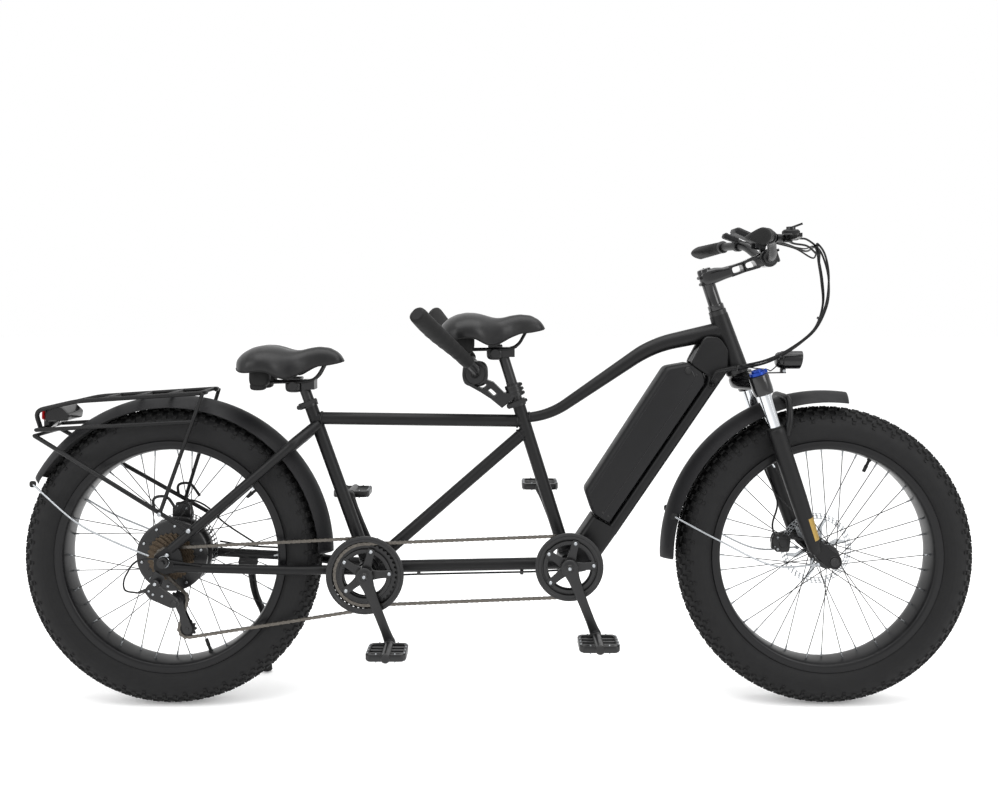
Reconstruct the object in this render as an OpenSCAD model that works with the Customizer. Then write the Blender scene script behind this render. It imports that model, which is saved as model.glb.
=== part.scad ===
// Electric tandem bicycle with fat tyres, suspension fork, battery in the down tube and rear rack.
// +X is forward, +Y is the rider's left and +Z is up; the origin is on the ground at mid wheelbase.

/* [Wheels] */
// Distance between the two axles
wheelbase = 1625; // [1400:1:1960]
// Outside diameter of both tyres
tyre_d = 740; // [610:1:890]
// Width of both tyres
tyre_w = 102; // [84:1:124]
// Outside diameter of the rim flanges
rim_d = 572; // [470:1:590]
// Width of both rims
rim_w = 80; // [66:1:82]
// Spokes in each wheel
spoke_count = 36; // [24:4:40]
// Diameter of a spoke
spoke_d = 2.6; // [2:0.1:3]
// Diameter of the brake rotors
rotor_d = 180; // [150:1:216]
// Diameter of the hub motor
motor_d = 168; // [140:1:200]

/* [Frame] */
// Angle of the steering axis from the vertical
steer_tilt = 18.19; // [15:0.1:22]
// Length of the head tube
head_tube_len = 140; // [117:1:168]
// Distance between the two crank axles
bb_spacing = 497; // [470:1:600]
// Height of the captain's crank axle above the stoker's
bb_rise = 20; // [0:1:30]
// Stoker's crank axle ahead of the rear axle
chainstay_reach = 486.5; // [470:0.5:580]
// Stoker's crank axle below the rear axle
bb_drop = 34; // [20:1:45]
// Angle of the captain's seat tube from the ground
captain_seat_angle = 72.53; // [68:0.1:76]
// Angle of the stoker's seat tube from the ground
stoker_seat_angle = 70.1; // [66:0.1:74]
// Length of the captain's seat tube
captain_seat_len = 415; // [400:1:498]
// Length of the stoker's seat tube
stoker_seat_len = 440; // [420:1:528]
// Outside diameter of the seat tubes
seat_tube_d = 32; // [31:0.5:38]
// Diameter of the seat posts
seatpost_d = 27.2; // [25:0.2:28]
// Width of the down tube
down_tube_w = 76; // [64:1:84]
// Depth of the down tube
down_tube_h = 76; // [64:1:84]

/* [Battery] */
// Length of the battery
battery_len = 444; // [370:1:450]
// Width of the battery
battery_w = 80; // [66:1:96]
// Depth of the battery
battery_h = 104; // [90:1:110]

/* [Fork] */
// Diameter of the stanchions
stanchion_d = 32; // [28:1:36]
// Travel of the suspension fork
fork_travel = 45; // [20:1:45]
// Distance of the front axle ahead of the steering axis
fork_rake = 61.9; // [50:0.1:75]

/* [Drive] */
// Length of the cranks, axle to axle
crank_len = 172.5; // [143:0.5:190]
// Pitch radius of the two timing rings
timing_r = 74.8; // [62:0.1:76]
// Pitch radius of the drive ring
drive_r = 86.9; // [78:0.1:90]
// Pitch radius of the smallest cog
cog_r = 28.3; // [24:0.1:34]
// Width of a pedal
pedal_w = 95; // [79:1:114]
// Length of a pedal
pedal_len = 98; // [82:1:104]

/* [Riders] */
// Handlebar width
bar_w = 680; // [640:1:816]
// Diameter of the handlebar tube
bar_d = 22.2; // [20:0.1:26]
// Length of both saddles
saddle_len = 262; // [220:1:300]
// Width of both saddles
saddle_w = 215; // [180:1:256]

/* [Hidden] */
$fn = 48;

// Fits
running = 0.05; // radial clearance of a pin or shaft that turns or slides in its bore
gap = 0.4; // clearance between pieces of different bodies
far = 400; // longer than any width of the bicycle

// Stations across the bicycle, all set by the tyre's half width
half_w = tyre_w / 2;
leg_y = half_w + 29;
fender_half = half_w + 1;
drive_y = half_w + 13;
timing_y = drive_y + 10;
crank_y = timing_y + 18;
crank_t = 14;
shell_half = half_w - 1;
dropout_y = half_w + 33;
dropout_t = 8;
rotor_front_y = half_w + 3;
rotor_rear_y = half_w + 11;
rotor_t = 2;
hub_half = leg_y - 14;
pedal_y = crank_y + crank_t / 2 + 9 + pedal_w / 2;

// Places along the bicycle
tyre_r = tyre_d / 2;
rear_axle = [-wheelbase / 2, 0, tyre_r];
front_axle = [wheelbase / 2, 0, tyre_r];
stoker_bb = rear_axle + [chainstay_reach, 0, -bb_drop];
captain_bb = stoker_bb + [bb_spacing, 0, bb_rise];
captain_up = [-cos(captain_seat_angle), 0, sin(captain_seat_angle)];
stoker_up = [-cos(stoker_seat_angle), 0, sin(stoker_seat_angle)];
captain_top = captain_bb + captain_seat_len * captain_up;
stoker_top = stoker_bb + stoker_seat_len * stoker_up;

// Fork: its own frame has z along the steering axis, x forward and its zero 37 mm under the head tube
crown_to_axle = tyre_r + 103;
steer_up = [-sin(steer_tilt), 0, cos(steer_tilt)];
steer_out = [cos(steer_tilt), 0, sin(steer_tilt)];
crown = front_axle - fork_rake * steer_out + crown_to_axle * steer_up;
head_low = 37;
head_high = head_low + head_tube_len;
head_d_low = 58;
head_d_high = 46;
steerer_d = 28.6;
leg_x = 28.8;
crown_cap_d = 50;
lower_d = 44;
lower_foot_d = 36;
lowers_top = -125;
stanchion_end = lowers_top - 80 - fork_travel;
cap_low = -36;
cap_high = 14;
fender_r = tyre_r + 39;
rear_fender_r = tyre_r + 27.6;
fender_t = 2.5;

// Down tube: s runs up its lower edge and t square to it, away from the front wheel
head_foot = crown + (head_low - 1) * steer_up - 31 * steer_out;
bb_to_head = head_foot - captain_bb;
dt_offset = 61;
dt_len = sqrt(pow(norm(bb_to_head), 2) - dt_offset * dt_offset);
dt_angle = atan2(bb_to_head[2], bb_to_head[0]) + asin(dt_offset / norm(bb_to_head));
dt_s = [cos(dt_angle), 0, sin(dt_angle)];
dt_t = [-sin(dt_angle), 0, cos(dt_angle)];
dt_zero = captain_bb - dt_offset * dt_t;
tray_h = 28.5;
battery_s = dt_len - battery_len - 31;
dt_bevel = 12;

// Cranks point this way at rest
crank_rest = -68.6;
crank_dir = [cos(crank_rest), 0, sin(crank_rest)];
link_half = 4;
ring_t = 3;
timing_guard_r = timing_r + 8;
drive_guard_r = drive_r + 8;
pulley_r = 22.2;
guide_pulley = rear_axle + [29, 0, -97];
tension_pulley = rear_axle + [52, 0, -168];

// Handlebar and stem
stem_top = crown + 271 * steer_up;
bar_clamp = crown + 159.5 * steer_out + 274 * steer_up;
bar_end = [-100, bar_w / 2, 32];

// Control cables enter the down tube on the right, behind the head tube
cable_d = 12;
cable_port = bar_clamp + [-146, -34, -314];

// Stoker's stem
stem_clamp_low = 12;
stoker_hub = captain_top + [-106, 0, 69];
stoker_bar_end = [-119, 300, 150];

function unit(v) = v / norm(v);
function mirror_y(p) = [p[0], -p[1], p[2]];
function all_mirror_y(path) = [for (p = path) mirror_y(p)];
function at_y(p, y) = [p[0], y, p[2]];
function dt_point(s, t) = dt_zero + s * dt_s + t * dt_t;
function dt_xz(points) = [for (p = points) let (q = dt_point(p[0], p[1])) [q[0], q[2]]];
function fork_point(x, y, z) = crown + x * steer_out + z * steer_up + [0, y, 0];
// A corner of a path rounded over length c on each side
function corner(a, p, b, c, n) =
    let (u = p - c * unit(p - a), v = p + c * unit(b - p))
    [for (i = [0:n]) let (f = i / n) (1 - f) * (1 - f) * u + 2 * f * (1 - f) * p + f * f * v];
function bent(path, c, n = 4) = [
    path[0],
    for (i = [1:len(path) - 2]) each corner(path[i - 1], path[i], path[i + 1], c, n),
    path[len(path) - 1]
];
// A smooth curve through points chosen by hand, with n steps between neighbours
function smooth_at(p, i, f) =
    let (
        last = len(p) - 1,
        a = p[max(i - 1, 0)],
        b = p[i],
        c = p[min(i + 1, last)],
        d = p[min(i + 2, last)]
    )
    0.5 * (2 * b + f * (c - a) + f * f * (2 * a - 5 * b + 4 * c - d) + f * f * f * (3 * b - a - 3 * c + d));
function smooth(p, n = 3) = [
    for (i = [0:len(p) - 2]) for (k = [0:n - 1]) smooth_at(p, i, k / n),
    p[len(p) - 1]
];
function tangent(p, i) = unit(p[min(i + 1, len(p) - 1)] - p[max(i - 1, 0)]);
function ring_at(p, i, r, sides, up) =
    let (t = tangent(p, i), n = unit(cross(up, t)), b = cross(t, n))
    [for (k = [0:sides - 1]) p[i] + r * (cos(360 * k / sides) * n + sin(360 * k / sides) * b)];

// A round tube of changing diameter along a path; d is a number or a list of [share of the rings, diameter]
module sweep(path, d, sides = 12, up = [0, 1, 0]) {
    last = len(path) - 1;
    points = [
        for (i = [0:last])
            each ring_at(path, i, (is_list(d) ? lookup(i / last, d) : d) / 2, sides, up)
    ];
    faces = concat(
        [[for (k = [0:sides - 1]) k]],
        [[for (k = [0:sides - 1]) last * sides + sides - 1 - k]],
        [
            for (i = [0:last - 1], k = [0:sides - 1])
                let (a = i * sides + k, b = i * sides + (k + 1) % sides)
                each [[a, a + sides, b + sides], [a, b + sides, b]]
        ]
    );
    polyhedron(points, faces, convexity = 6);
}

// A straight bar between two points
module rod(p, q, d, d2 = undef) {
    v = q - p;
    translate(p)
        rotate([0, acos(v[2] / norm(v)), atan2(v[1], v[0])])
            cylinder(h = norm(v), d1 = d, d2 = is_undef(d2) ? d : d2);
}

// A cylinder along Y about the point p
module disc(p, y0, y1, d) {
    translate([p[0], y0, p[2]]) rotate([-90, 0, 0]) cylinder(h = y1 - y0, d = d);
}

// A flat outline in X and Z, thickened along Y
module plate(points, y0, y1) {
    translate([0, y1, 0]) rotate([90, 0, 0]) linear_extrude(y1 - y0) polygon(points);
}

module both_sides() {
    children();
    mirror([0, 1, 0]) children();
}

module fork_frame() {
    translate(crown) rotate([0, -steer_tilt, 0]) children();
}

module seat_frame(top, angle) {
    translate(top) rotate([0, angle - 90, 0]) children();
}

module captain_seat_outer(extra = 0) {
    rod(captain_bb, captain_top, seat_tube_d + extra);
}

module stoker_seat_outer(extra = 0) {
    rod(stoker_bb, stoker_top, seat_tube_d + extra);
}

shell_d = 48;
cartridge_d = 40;
spindle_d = 20;

module bb_shell_solid(p) {
    disc(p, -shell_half, shell_half, shell_d);
}

module head_outer() {
    fork_frame() translate([0, 0, head_low]) cylinder(h = head_tube_len, d1 = head_d_low, d2 = head_d_high);
}

// ---- Frame ----

module head_tube() {
    color("#17181a") difference() {
        head_outer();
        fork_frame() translate([0, 0, head_low - 1]) cylinder(h = head_tube_len + 2, d = steerer_d + 8);
    }
}

module down_tube() {
    battery_end = battery_s + battery_len;
    upper = down_tube_h;
    side = dt_xz([
        [-14, 18], [20, 0], [dt_len + 6, 0], [dt_len + 16, 91], [battery_end + 3, 91], [battery_end + 3, 44],
        [battery_end - 19, tray_h], [battery_s - 1, tray_h], [battery_s - 4, upper], [-5, upper]
    ]);
    color("#17181a") difference() {
        intersection() {
            plate(side, -down_tube_w / 2, down_tube_w / 2);
            multmatrix([
                [dt_s[0], 0, dt_t[0], dt_zero[0]],
                [0, 1, 0, 0],
                [dt_s[2], 0, dt_t[2], dt_zero[2]],
                [0, 0, 0, 1]
            ]) translate([-60, 0, 0]) rotate([90, 0, 90]) linear_extrude(dt_len + 120) polygon([
                [-down_tube_w / 2, dt_bevel], [-down_tube_w / 2 + dt_bevel, 0],
                [down_tube_w / 2 - dt_bevel, 0], [down_tube_w / 2, dt_bevel],
                [down_tube_w / 2, 92], [-down_tube_w / 2, 92]
            ]);
        }
        bb_shell_solid(captain_bb);
        captain_seat_outer();
        head_outer();
        rod(cable_port + [8, -30, 19], cable_port + [-3, 10, -7], cable_d + 6);
    }
}

top_tube_start = captain_bb + (captain_seat_len - 44) * captain_up;
top_tube_end = crown + (head_high - 40) * steer_up;
top_tube_path = bent([
    top_tube_start,
    top_tube_start + [64, 0, 4],
    top_tube_end + [-179, 0, -39],
    top_tube_end
], 55, 6);

module front_top_tube() {
    color("#17181a") difference() {
        sweep(top_tube_path, [[0, 26], [0.3, 27], [0.5, 32], [0.6, 37], [0.9, 42], [1, 46]], 16);
        captain_seat_outer();
        head_outer();
        plate(dt_xz([[dt_len - 30, 91], [dt_len + 16, 91], [dt_len + 10, 0], [dt_len - 30, 0]]),
            -down_tube_w / 2, down_tube_w / 2);
    }
}

module seat_tube(bb, top) {
    difference() {
        union() {
            rod(bb, top, seat_tube_d);
            bb_shell_solid(bb);
        }
        disc(bb, -far, far, cartridge_d);
        rod(bb + 0.18 * (top - bb), top + 0.1 * (top - bb), seatpost_d + 2 * running);
    }
}

module captain_seat_tube() {
    color("#17181a") seat_tube(captain_bb, captain_top);
}

module stoker_seat_tube() {
    color("#17181a") seat_tube(stoker_bb, stoker_top);
}

tube_wall = 2.5;
rear_top_from = stoker_bb + (stoker_seat_len - 43) * stoker_up;
rear_top_to = captain_bb + (captain_seat_len - 52) * captain_up;
diagonal_to = captain_bb + (captain_seat_len - 76) * captain_up;

module rear_top_tube() {
    color("#17181a") difference() {
        rod(rear_top_from, rear_top_to, rear_top_d);
        rod(rear_top_from, rear_top_to, rear_top_d - 2 * tube_wall);
        captain_seat_outer();
        stoker_seat_outer();
    }
}

module diagonal_tube() {
    color("#17181a") difference() {
        rod(stoker_bb, diagonal_to, 30);
        captain_seat_outer();
        stoker_seat_outer();
        bb_shell_solid(stoker_bb);
        rod(rear_top_from, rear_top_to, rear_top_d);
    }
}

module boom_tube() {
    color("#17181a") difference() {
        rod(stoker_bb, captain_bb - [0, 0, 10], 30);
        bb_shell_solid(stoker_bb);
        bb_shell_solid(captain_bb);
        rod(stoker_bb, diagonal_to, 30);
        captain_seat_outer();
        stoker_seat_outer();
    }
}

stay_d = 23;
chain_stay_path = bent([
    stoker_bb + [-12, shell_half - 11, 1],
    stoker_bb + [-92, shell_half - 5, 5],
    stoker_bb + [-160, half_w + 16, 8],
    [rear_axle[0] + 24, dropout_y, rear_axle[2] - 14]
], 24, 4);
dropout_outline = [
    for (p = [[-24, 14], [-24, -22], [0, -30], [34, -26], [48, -8], [40, 26], [22, 44], [6, 36]])
        [rear_axle[0] + p[0], rear_axle[2] + p[1]]
];
axle_d = 12;
stand_pivot = rear_axle + [164, dropout_y + 9, -46];
stand_axis = [-0.117, 0.985, 0.127];

module dropout() {
    difference() {
        plate(dropout_outline, dropout_y - dropout_t / 2, dropout_y + dropout_t / 2);
        disc(rear_axle, 0, far, axle_d);
    }
}

module stand_bracket() {
    difference() {
        plate([
            for (p = [[-20, 30], [-26, 2], [-12, -16], [12, -16], [26, 2], [20, 30]])
                [stand_pivot[0] + p[0], stand_pivot[2] + p[1]]
        ], dropout_y - 12, dropout_y - 2);
        sweep(chain_stay_path, stay_d, 14, [0, 0, 1]);
    }
    rod(stand_pivot - 14 * unit(stand_axis), stand_pivot + 11 * unit(stand_axis), 10);
}

module chain_stays() {
    color("#17181a") {
        both_sides() {
            difference() {
                sweep(chain_stay_path, stay_d, 14, [0, 0, 1]);
                bb_shell_solid(stoker_bb);
                plate(dropout_outline, dropout_y - dropout_t / 2, dropout_y + dropout_t / 2);
                disc(rear_axle, 0, far, 30);
            }
            dropout();
        }
        stand_bracket();
    }
}

seat_stay_top = stoker_bb + (stoker_seat_len - 60) * stoker_up;
seat_stay_foot = rear_axle + [16, dropout_y, 30];
seat_stay_fall = (seat_stay_foot[2] - seat_stay_top[2]) / (seat_stay_foot[0] - seat_stay_top[0]);
seat_stay_path = bent([
    seat_stay_top + [0, 10, 0],
    seat_stay_top + [-46, half_w + 24, -46 * seat_stay_fall],
    seat_stay_foot
], 12, 4);

module seat_stay_tube() {
    sweep(seat_stay_path, [[0, 27], [0.7, 26], [1, 22]], 14, [0, 0, 1]);
}

module seat_stays() {
    color("#17181a") difference() {
        union() {
            both_sides() difference() {
                seat_stay_tube();
                plate(dropout_outline, dropout_y - dropout_t / 2, dropout_y + dropout_t / 2);
            }
            rod(seat_stay_top + [-46, -half_w - 20, -46 * seat_stay_fall],
                seat_stay_top + [-46, half_w + 20, -46 * seat_stay_fall], 14);
        }
        stoker_seat_outer();
        rod(rear_top_from, rear_top_to, rear_top_d);
    }
}

module cartridge(bb) {
    both_sides() difference() {
        disc(bb, shell_half - 18, shell_half, cartridge_d);
        disc(bb, 0, far, spindle_d + 2 * running);
    }
}

module headset_race(z, d) {
    fork_frame() translate([0, 0, z]) difference() {
        cylinder(h = 12, d = d);
        translate([0, 0, -1]) cylinder(h = 14, d = steerer_d + 2 * running);
    }
}

nut_y = dropout_y + dropout_t / 2;

module axle_and_bearings() {
    color("#8f9296") {
        cartridge(stoker_bb);
        cartridge(captain_bb);
        headset_race(head_low - 12, 56);
        headset_race(head_high, 44);
        disc(rear_axle, -nut_y - 18, nut_y + 18, axle_d);
        both_sides() difference() {
            disc(rear_axle, nut_y, nut_y + 11, 27);
            disc(rear_axle, 0, far, axle_d);
        }
    }
}

// ---- Rear rack, light, fender ----

rack_d = 11;
rack_rail_d = 10;
rack_strut_d = 10.6;
rack_bar_d = 9;
rear_top_d = seat_tube_d - 1;
rack_y = 72;
rack_front = rear_axle + [90, 0, 408];
rack_knee = rear_axle + [-218, 0, 388];
rack_tail = rear_axle + [-316, 0, 318];
strut_y = dropout_y + 15;
strut_foot = rear_axle + [64, 0, 78];
strut_low = rear_axle + [-6, 0, 118];
rail_front = at_y(strut_low, strut_y) + 0.76 * (at_y(rack_front, rack_y) - at_y(strut_low, strut_y));

module rack_side() {
    sweep(bent([
        at_y(rack_front, rack_y - 30), at_y(rack_front, rack_y), at_y(rack_knee, rack_y),
        at_y(rack_tail + [-6, 0, 46], rack_y - 8), at_y(rack_tail, rack_y - 26)
    ], 14, 3), rack_d, 10, [0.2, 0.1, 1]);
    rod(rail_front, at_y(rack_tail, rack_y), rack_rail_d);
    rod(at_y(strut_foot, strut_y), at_y(rack_tail + [-4, 0, -14], rack_y), rack_strut_d);
    rod(at_y(strut_low, strut_y), at_y(rack_front, rack_y), rack_rail_d - 0.5);
    disc(strut_foot, dropout_y, strut_y, 12);
}

module rack_bars() {
    for (f = [0.04, 0.3, 0.56, 0.82]) {
        p = rack_front + f * (rack_knee - rack_front);
        rod(at_y(p, -rack_y), at_y(p, rack_y), rack_bar_d);
    }
    rod(at_y(rack_tail, -rack_y - 2), at_y(rack_tail, rack_y + 2), rack_bar_d);
    rod(at_y(rack_tail + [-4, 0, -14], -rack_y - 2), at_y(rack_tail + [-4, 0, -14], rack_y + 2), rack_bar_d);
}

module luggage_rack() {
    color("#141416") difference() {
        union() {
            both_sides() rack_side();
            rack_bars();
        }
        both_sides() seat_stay_tube();
    }
}

light_front = rear_axle + [-252, 0, 350];

function light_xz(points) = [for (p = points) [light_front[0] + p[0], light_front[2] + p[1]]];

module rear_light() {
    color("#1b1b1d") {
        plate(light_xz([[0, -14], [4, 6], [-14, 22], [-56, 24], [-56, -16]]), -44, 44);
        difference() {
            plate(light_xz([[-54, -15], [-30, -15], [-54, -34], [-70, -34], [-70, -10], [-64, -10]]), -18, 18);
            disc(rack_tail, -far, far, rack_bar_d);
            disc(rack_tail + [-4, 0, -14], -far, far, rack_bar_d);
        }
    }
    color("#b0141a") plate(light_xz([[-56, 22], [-56, -14], [-66, -9], [-66, 18]]), -41, 41);
}

// An arched strip about an axle, from one angle to another, counted from forward towards up
module fender_shell(axle, r, from, to, skirt) {
    steps = 8;
    outer = [for (i = [-steps:steps]) let (f = i / steps) [r - skirt * f * f, fender_half * f]];
    inner = [for (i = [steps:-1:-steps]) let (f = i / steps) [r - fender_t - skirt * f * f, (fender_half - 1) * f]];
    translate(axle) rotate([90, 0, 0]) rotate([0, 0, from])
        rotate_extrude(angle = to - from) polygon(concat(outer, inner));
}

stay_wire_d = 5;
rear_stay_tip = rear_axle + rear_fender_r * [cos(150), 0, sin(150)] + [12, 0, -16];

module rear_fender() {
    color("#222327") fender_shell(rear_axle, rear_fender_r, 1, 151, 26);
    color("#c9ccd0") both_sides() sweep(bent([
        rear_stay_tip + [0, fender_half + 3, 0],
        rear_axle + [-215, dropout_y - 2, 96],
        rear_axle + [-34, dropout_y + 8, 16]
    ], 40, 4), stay_wire_d, 8, [0, 1, 0]);
}

module caliper_body(p, y, reach) {
    difference() {
        plate([
            for (q = [[-24, -22], [18, -26], [26, -10], [26, 22], [4, 28], [-24, 16]]) [p[0] + q[0], p[2] + q[1]]
        ], y - 11, y + reach);
        disc(p, y - rotor_t / 2 - 1.5, y + rotor_t / 2 + 1.5, far);
    }
    plate([
        for (q = [[4, 20], [26, 12], [26, 22], [4, 28]]) [p[0] + q[0], p[2] + q[1]]
    ], y - 11, y + reach);
}

rear_caliper_at = rear_axle + [-2, 0, 92];

module rear_brake_caliper() {
    color("#2a2b2e") {
        caliper_body(rear_caliper_at, rotor_rear_y, 8);
        difference() {
            plate([
                for (p = [[-24, 76], [-22, 108], [20, 112], [26, 84], [20, 40], [4, 32], [-10, 26], [-20, 32]])
                    [rear_axle[0] + p[0], rear_axle[2] + p[1]]
            ], rotor_rear_y + 4, dropout_y - dropout_t / 2);
            seat_stay_tube();
        }
    }
}

// ---- Chains ----

function arc_points(c, r, from, to, n) = [
    for (i = [0:n]) let (a = from + (to - from) * i / n) [c[0] + r * cos(a), c[2] + r * sin(a)]
];
// Direction of the outside tangent from wheel a, radius ra, to wheel b, radius rb
function belt_angle(a, ra, b, rb) =
    let (v = b - a) atan2(v[2], v[0]) + acos((ra - rb) / norm([v[0], v[2]]));
// Outline of a belt round two wheels, b ahead of a
function belt(a, ra, b, rb, n = 16) =
    let (
        top = belt_angle(a, ra, b, rb),
        bottom = 2 * atan2(b[2] - a[2], b[0] - a[0]) - top
    )
    concat(arc_points(b, rb, bottom, top, n), arc_points(a, ra, top, bottom + 360, n));

module timing_chain() {
    color("#6e675c") translate([0, -timing_y + link_half, 0]) rotate([90, 0, 0])
        linear_extrude(2 * link_half) difference() {
            polygon(belt(stoker_bb, timing_r + link_half, captain_bb, timing_r + link_half));
            polygon(belt(stoker_bb, timing_r - link_half, captain_bb, timing_r - link_half));
        }
}

// Normals at each point of a closed line of [x, z] points
function normal_at(p, i) =
    let (n = len(p), v = unit(p[(i + 1) % n] - p[(i + n - 1) % n])) [v[1], -v[0]];
function shifted(p, d) = [for (i = [0:len(p) - 1]) p[i] + d * normal_at(p, i)];
// Angle on wheel a where the line that crosses over to wheel b leaves it
function cross_angle(a, b, r) =
    let (v = b - a) atan2(v[2], v[0]) + acos(2 * r / norm([v[0], v[2]]));

ring_top = belt_angle(rear_axle, cog_r, stoker_bb, drive_r);
guide_from = 2 * atan2(guide_pulley[2] - rear_axle[2], guide_pulley[0] - rear_axle[0]);
pulleys_angle = cross_angle(guide_pulley, tension_pulley, pulley_r);
cog_leave = let (v = guide_pulley - rear_axle)
    atan2(v[2], v[0]) - acos((cog_r + pulley_r) / norm([v[0], v[2]]));
lower_angle = let (v = stoker_bb - tension_pulley)
    atan2(v[2], v[0]) - acos((pulley_r - drive_r) / norm([v[0], v[2]]));
drive_line = concat(
    arc_points(stoker_bb, drive_r, lower_angle, ring_top, 26),
    arc_points(rear_axle, cog_r, ring_top, 360 + cog_leave, 10),
    arc_points(guide_pulley, pulley_r, cog_leave + 180, pulleys_angle, 5),
    arc_points(tension_pulley, pulley_r, pulleys_angle + 180, lower_angle + 360, 7)
);

module drive_chain() {
    color("#6e675c") translate([0, -drive_y + link_half, 0]) rotate([90, 0, 0])
        linear_extrude(2 * link_half) difference() {
            polygon(shifted(drive_line, link_half));
            polygon(shifted(drive_line, -link_half));
        }
}

boom_cable = [
    captain_bb + [20, 24, -34], captain_bb + [-30, 14, -33], captain_bb + [-90, 2, -33],
    captain_bb + [-250, 0, -36], stoker_bb + [100, 2, -20], stoker_bb + [40, 20, -28],
    stoker_bb + [-14, 44, -32], stoker_bb + [-60, 62, -14], stoker_bb + [-110, 70, 8],
    stoker_bb + [-160, 77, 21], stoker_bb + [-200, 78, 27], stoker_bb + [-320, 90, 31],
    stoker_bb + [-400, 94, 42]
];

module frame_cables() {
    color("#101011") {
        sweep(smooth(boom_cable, 3), 8, 8, [0, 0, 1]);
        difference() {
            for (x = [-118, -376]) translate(captain_bb + [x, -7, -38]) cube([9, 14, 14]);
            rod(stoker_bb, captain_bb - [0, 0, 10], 30);
        }
    }
}

// ---- Seat posts, collars, quick releases ----

collar_h = 16;
qr_pin_d = 5;
collar_d = seat_tube_d + 7;

module collar(top, angle) {
    seat_frame(top, angle) difference() {
        union() {
            translate([0, 0, -collar_h + 4]) cylinder(h = collar_h, d = collar_d);
            translate([-collar_d / 2 - 7, -9, -collar_h + 4]) cube([12, 18, collar_h]);
        }
        translate([0, 0, -collar_h - far]) cylinder(h = far + collar_h, d = seat_tube_d);
        cylinder(h = 10, d = seatpost_d + 2 * running);
        translate([-collar_d, -1, -collar_h + 3]) cube([collar_d / 2 + 6, 2, collar_h + 2]);
    }
    seat_frame(top, angle) translate([-collar_d / 2 - 4, 0, 4 - collar_h / 2]) rotate([90, 0, 0]) {
        translate([0, 0, -13]) cylinder(h = 42, d = qr_pin_d);
        translate([0, 0, 27 + gap]) cylinder(h = 3, d = 10);
    }
}

module seat_collars() {
    color("#1a1a1c") collar(captain_top, captain_seat_angle);
    color("#1a1a1c") collar(stoker_top, stoker_seat_angle);
}

module qr_lever(top, angle) {
    seat_frame(top, angle) translate([-collar_d / 2 - 4, 0, -collar_h / 2 + 4]) {
        difference() {
            union() {
                translate([0, -27, 0]) rotate([-90, 0, 0]) cylinder(h = 17, d = 12);
                hull() {
                    translate([0, -27, 0]) rotate([-90, 0, 0]) cylinder(h = 5, d = 10, $fn = 24);
                    translate([44, -27, 3]) rotate([-90, 0, 0]) cylinder(h = 5, d = 9, $fn = 24);
                }
            }
            translate([0, -far, 0]) rotate([-90, 0, 0]) cylinder(h = 2 * far, d = qr_pin_d + 2 * running);
        }
    }
}

module captain_qr_lever() {
    color("#1c1c1e") qr_lever(captain_top, captain_seat_angle);
}

module stoker_qr_lever() {
    color("#1c1c1e") qr_lever(stoker_top, stoker_seat_angle);
}

captain_post_len = 120;
stoker_post_len = 38;
post_inside = 160;
head_h = 24;
head_w = 44;

module seatpost(top, angle, out) {
    seat_frame(top, angle) {
        translate([0, 0, -post_inside]) cylinder(h = post_inside + out, d = seatpost_d);
        difference() {
            translate([-4, -head_w / 2, out - 2]) rotate([0, 90 - angle, 0]) cube([32, head_w, head_h]);
            translate([0, 0, out - 30]) cylinder(h = 28, d = seatpost_d);
        }
    }
}

module captain_seatpost() {
    color("#1f2023") seatpost(captain_top, captain_seat_angle, captain_post_len);
}

module stoker_seatpost() {
    color("#1f2023") seatpost(stoker_top, stoker_seat_angle, stoker_post_len);
}

// Saddle: plain pad, two rails and two elastomer posts; p is the middle of the rails
module saddle(p) {
    nose = saddle_len * 0.5;
    back = saddle_len * 0.34;
    translate(p) {
        hull() {
            translate([nose - 20, 0, 62]) sphere(d = 36, $fn = 24);
            translate([nose - 60, 0, 58]) sphere(d = 54, $fn = 24);
            translate([20, 0, 52]) sphere(d = 76, $fn = 24);
        }
        hull() {
            translate([20, 0, 54]) sphere(d = 72, $fn = 24);
            for (s = [-1, 1]) translate([-back + 4, s * (saddle_w / 2 - 39), 54]) sphere(d = 76, $fn = 24);
        }
        both_sides() {
            sweep(bent([[74, 12, 34], [46, 22, 4], [-30, 22, 4], [-74, 34, 26]], 12, 3), 7, 8, [0, 1, 0.2]);
        }
    }
}

captain_rails = captain_top + (captain_post_len + 12) * captain_up + [-2, 0, 6];
stoker_rails = stoker_top + (stoker_post_len + 12) * stoker_up + [-6, 0, 6];

module captain_saddle() {
    color("#161617") saddle(captain_rails);
}

module stoker_saddle() {
    color("#161617") saddle(stoker_rails);
}

// ---- Stoker's stem and bar, clamped on the captain's seat post ----

function stem_xz(points) = [for (p = points) [captain_top[0] + p[0], captain_top[2] + p[1]]];

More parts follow.
